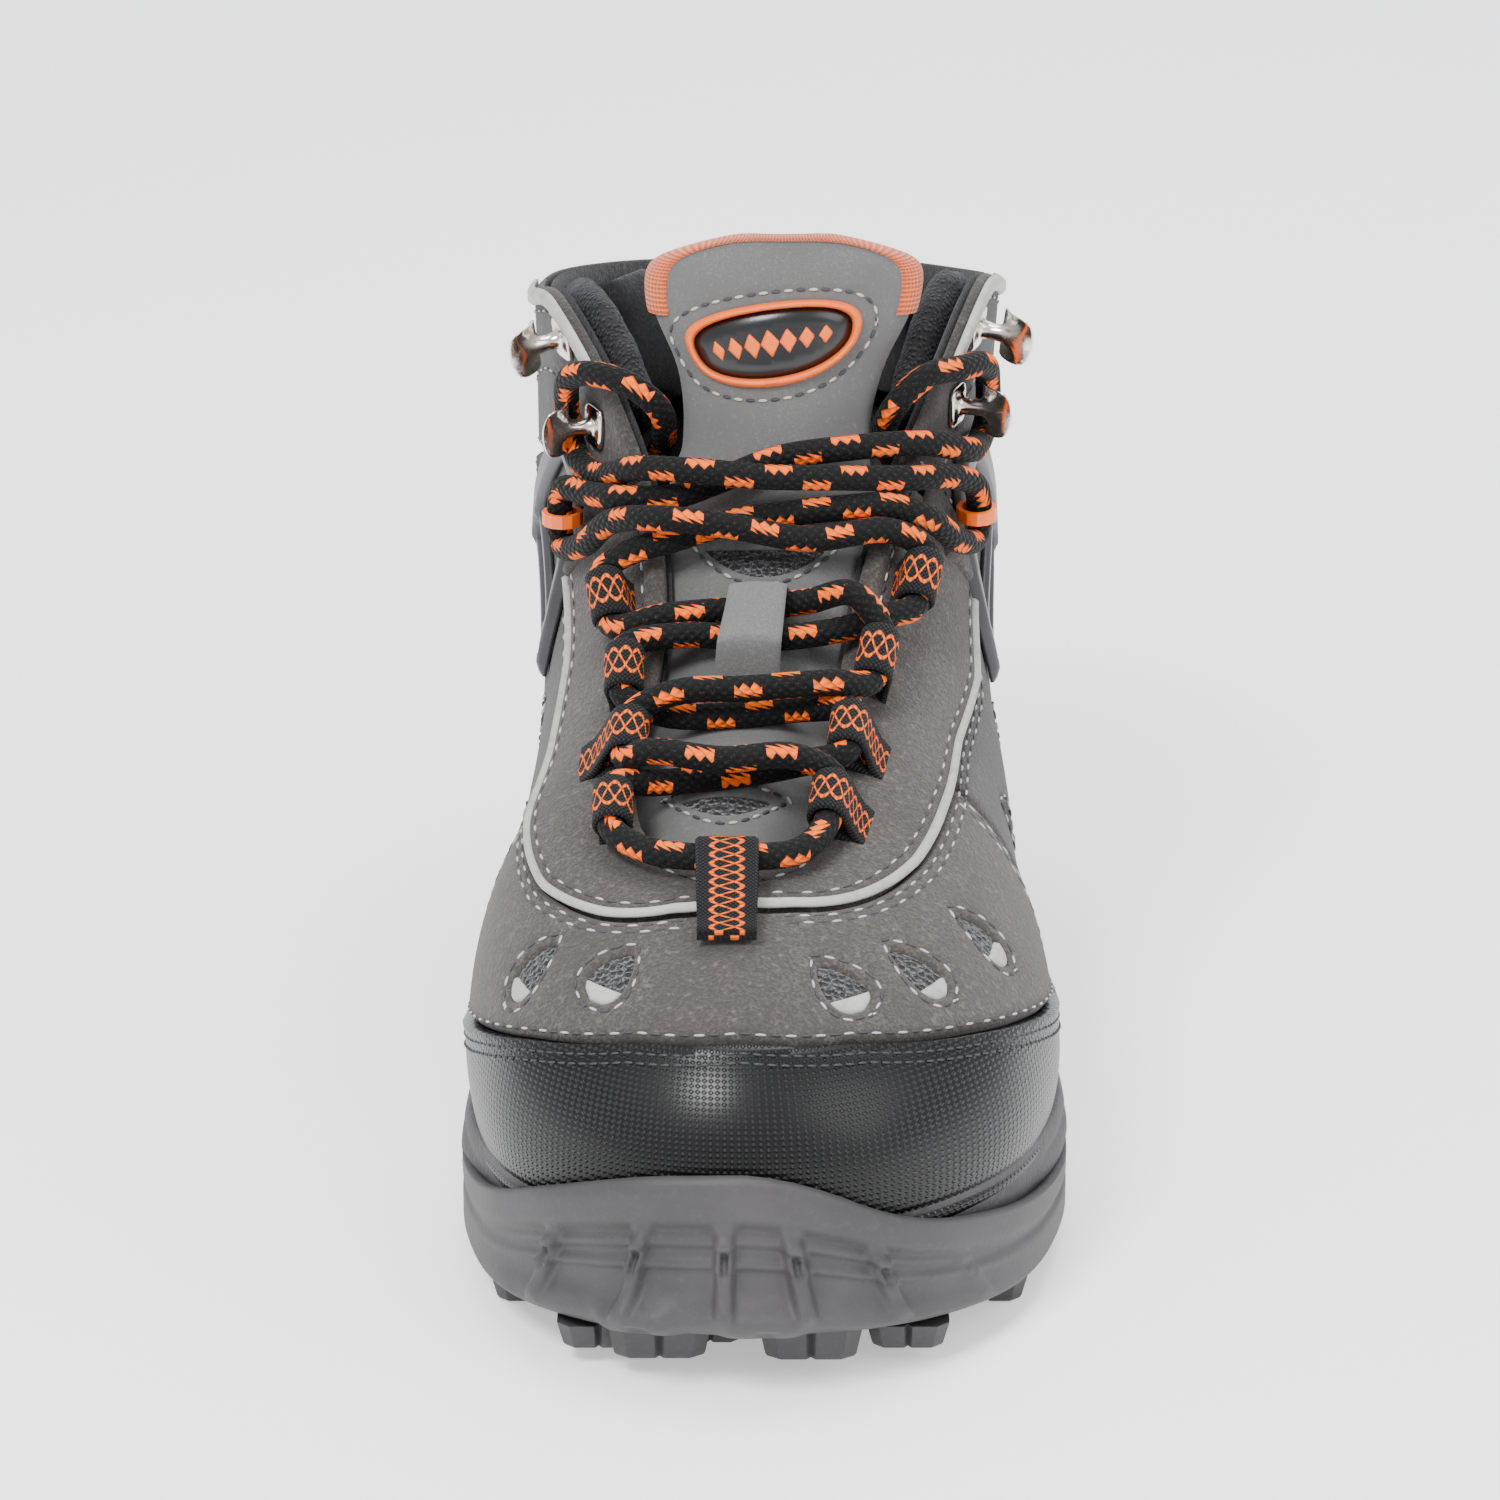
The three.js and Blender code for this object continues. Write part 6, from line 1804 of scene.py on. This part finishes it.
class BOOT_OT_sole(BootTask, Operator):
    """Mould the outsole with its toe claws and tread blocks, the foam sides and the footbed"""
    bl_idname = "boot.sole"
    bl_label = "Sole and footbed"

    def execute(self, context):
        fine = np.arange(-2.6, 2.6, 0.014)
        coarse = np.arange(2.6, TURN - 2.6, 0.07)
        places = np.concatenate([fine % TURN, coarse])
        ring_piece("outsole_wall", places, outsole_section, "rubber", stands_for=["outsole"],
                   slot="sole_rubber")
        rows = np.linspace(0.02, HEEL - 0.02, 120)[:, None]
        across = np.linspace(0, 1, 17)[None, :]
        lateral, medial = foot_line(rows[:, 0], np.full(120, -7.0)), foot_line(TURN - rows[:, 0], np.full(120, -7.0))
        sheet = lateral[:, None] * (1 - across[..., None]) + medial[:, None] * across[..., None]
        front, back = sheet.copy(), sheet.copy()
        front[..., 2], back[..., 2] = tread(sheet[..., 1]) + 2.6, tread(sheet[..., 1]) + 0.05
        skin("outsole_floor", front * MM, back * MM, "rubber", slot="sole_rubber")
        points, faces = [], []
        for row in range(11):
            if row in (5, 6):
                continue
            y = -128 + 26 * row
            places_y = np.linspace(0, HEEL, 800)
            lateral = np.interp(y, bare_upper(places_y, 0 * places_y)[:, 1], bare_upper(places_y, 0 * places_y)[:, 0])
            other = bare_upper(TURN - places_y, 0 * places_y)
            medial = np.interp(y, other[:, 1], other[:, 0])
            half, middle = (lateral - medial) / 2, (lateral + medial) / 2
            for edge, wide, long, back_by in ((7, 15, 13, 0), (27, 13, 12, 3)):
                if half < edge + 1:
                    continue
                for way in (-1, 1):
                    x, at_y = middle + way * (half - edge), y + back_by
                    top = float(tread(np.array(at_y))) + 1
                    block, sides = lug_block(x, at_y, wide, long, top, max(0.0, top - 5))
                    faces += [tuple(len(points) + v for v in side) for side in sides]
                    points += block
        for x, at_y in ((-19.0, -133.5), (8.0, -134.5)):
            top = float(tread(np.array(at_y))) + 3
            block, sides = lug_block(x, at_y, 19, 13, top, top - 7.5)
            faces += [tuple(len(points) + v for v in side) for side in sides]
            points += block
        lugs = new_piece("outsole_lugs", np.array(points) * MM, faces, "rubber", slot="sole_rubber")
        bevel = lugs.modifiers.new("edges", "BEVEL")
        bevel.width = 0.0004
        bevel.segments = 2
        bevel.limit_method = "ANGLE"
        for polygon in lugs.data.polygons:
            polygon.use_smooth = False
        ring_piece("midsole_side", np.arange(0, TURN, 0.06), midsole_section, "foam",
                   slot="midsole_foam")
        for node, finish_name in (("midsole", "foam"), ("shank", "steel"), ("lasting_board", "board"),
                                  ("footbed_fore", "sock_cloth"), ("footbed_heel", "sock_cloth")):
            paint(NODES[node], finish_name)
        return {"FINISHED"}


# ---------------------------------------------------------------- panel and run

TASKS = [
    BOOT_OT_stage, BOOT_OT_lace, BOOT_OT_loops, BOOT_OT_lining, BOOT_OT_toe, BOOT_OT_eyestay, BOOT_OT_quarters,
    BOOT_OT_frames, BOOT_OT_collar, BOOT_OT_tongue, BOOT_OT_sole,
]


class BOOT_PT_tasks(Panel):
    """Lists the sizes, the colours and the tasks of the boot"""
    bl_idname = "BOOT_PT_tasks"
    bl_label = "Hiking Boot"
    bl_space_type = "VIEW_3D"
    bl_region_type = "UI"
    bl_category = "Boot"

    def draw(self, context):
        for group in (context.scene.boot_sizes, context.scene.boot_colours):
            for key in group.bl_rna.properties.keys():
                if key not in ("rna_type", "name"):
                    self.layout.prop(group, key)
        for task in TASKS:
            self.layout.operator(task.bl_idname)


def register():
    for made in (BootSizes, BootColours, *TASKS, BOOT_PT_tasks):
        bpy.utils.register_class(made)
    bpy.types.Scene.boot_sizes = PointerProperty(type=BootSizes)
    bpy.types.Scene.boot_colours = PointerProperty(type=BootColours)


def unregister():
    del bpy.types.Scene.boot_colours
    del bpy.types.Scene.boot_sizes
    for made in (BOOT_PT_tasks, *TASKS[::-1], BootColours, BootSizes):
        bpy.utils.unregister_class(made)


def main():
    register()
    for task in TASKS:
        module, name = task.bl_idname.split(".")
        if getattr(getattr(bpy.ops, module), name)() != {"FINISHED"}:
            raise RuntimeError(f"{task.bl_label} wasn't finished")


if __name__ == "__main__":
    main()
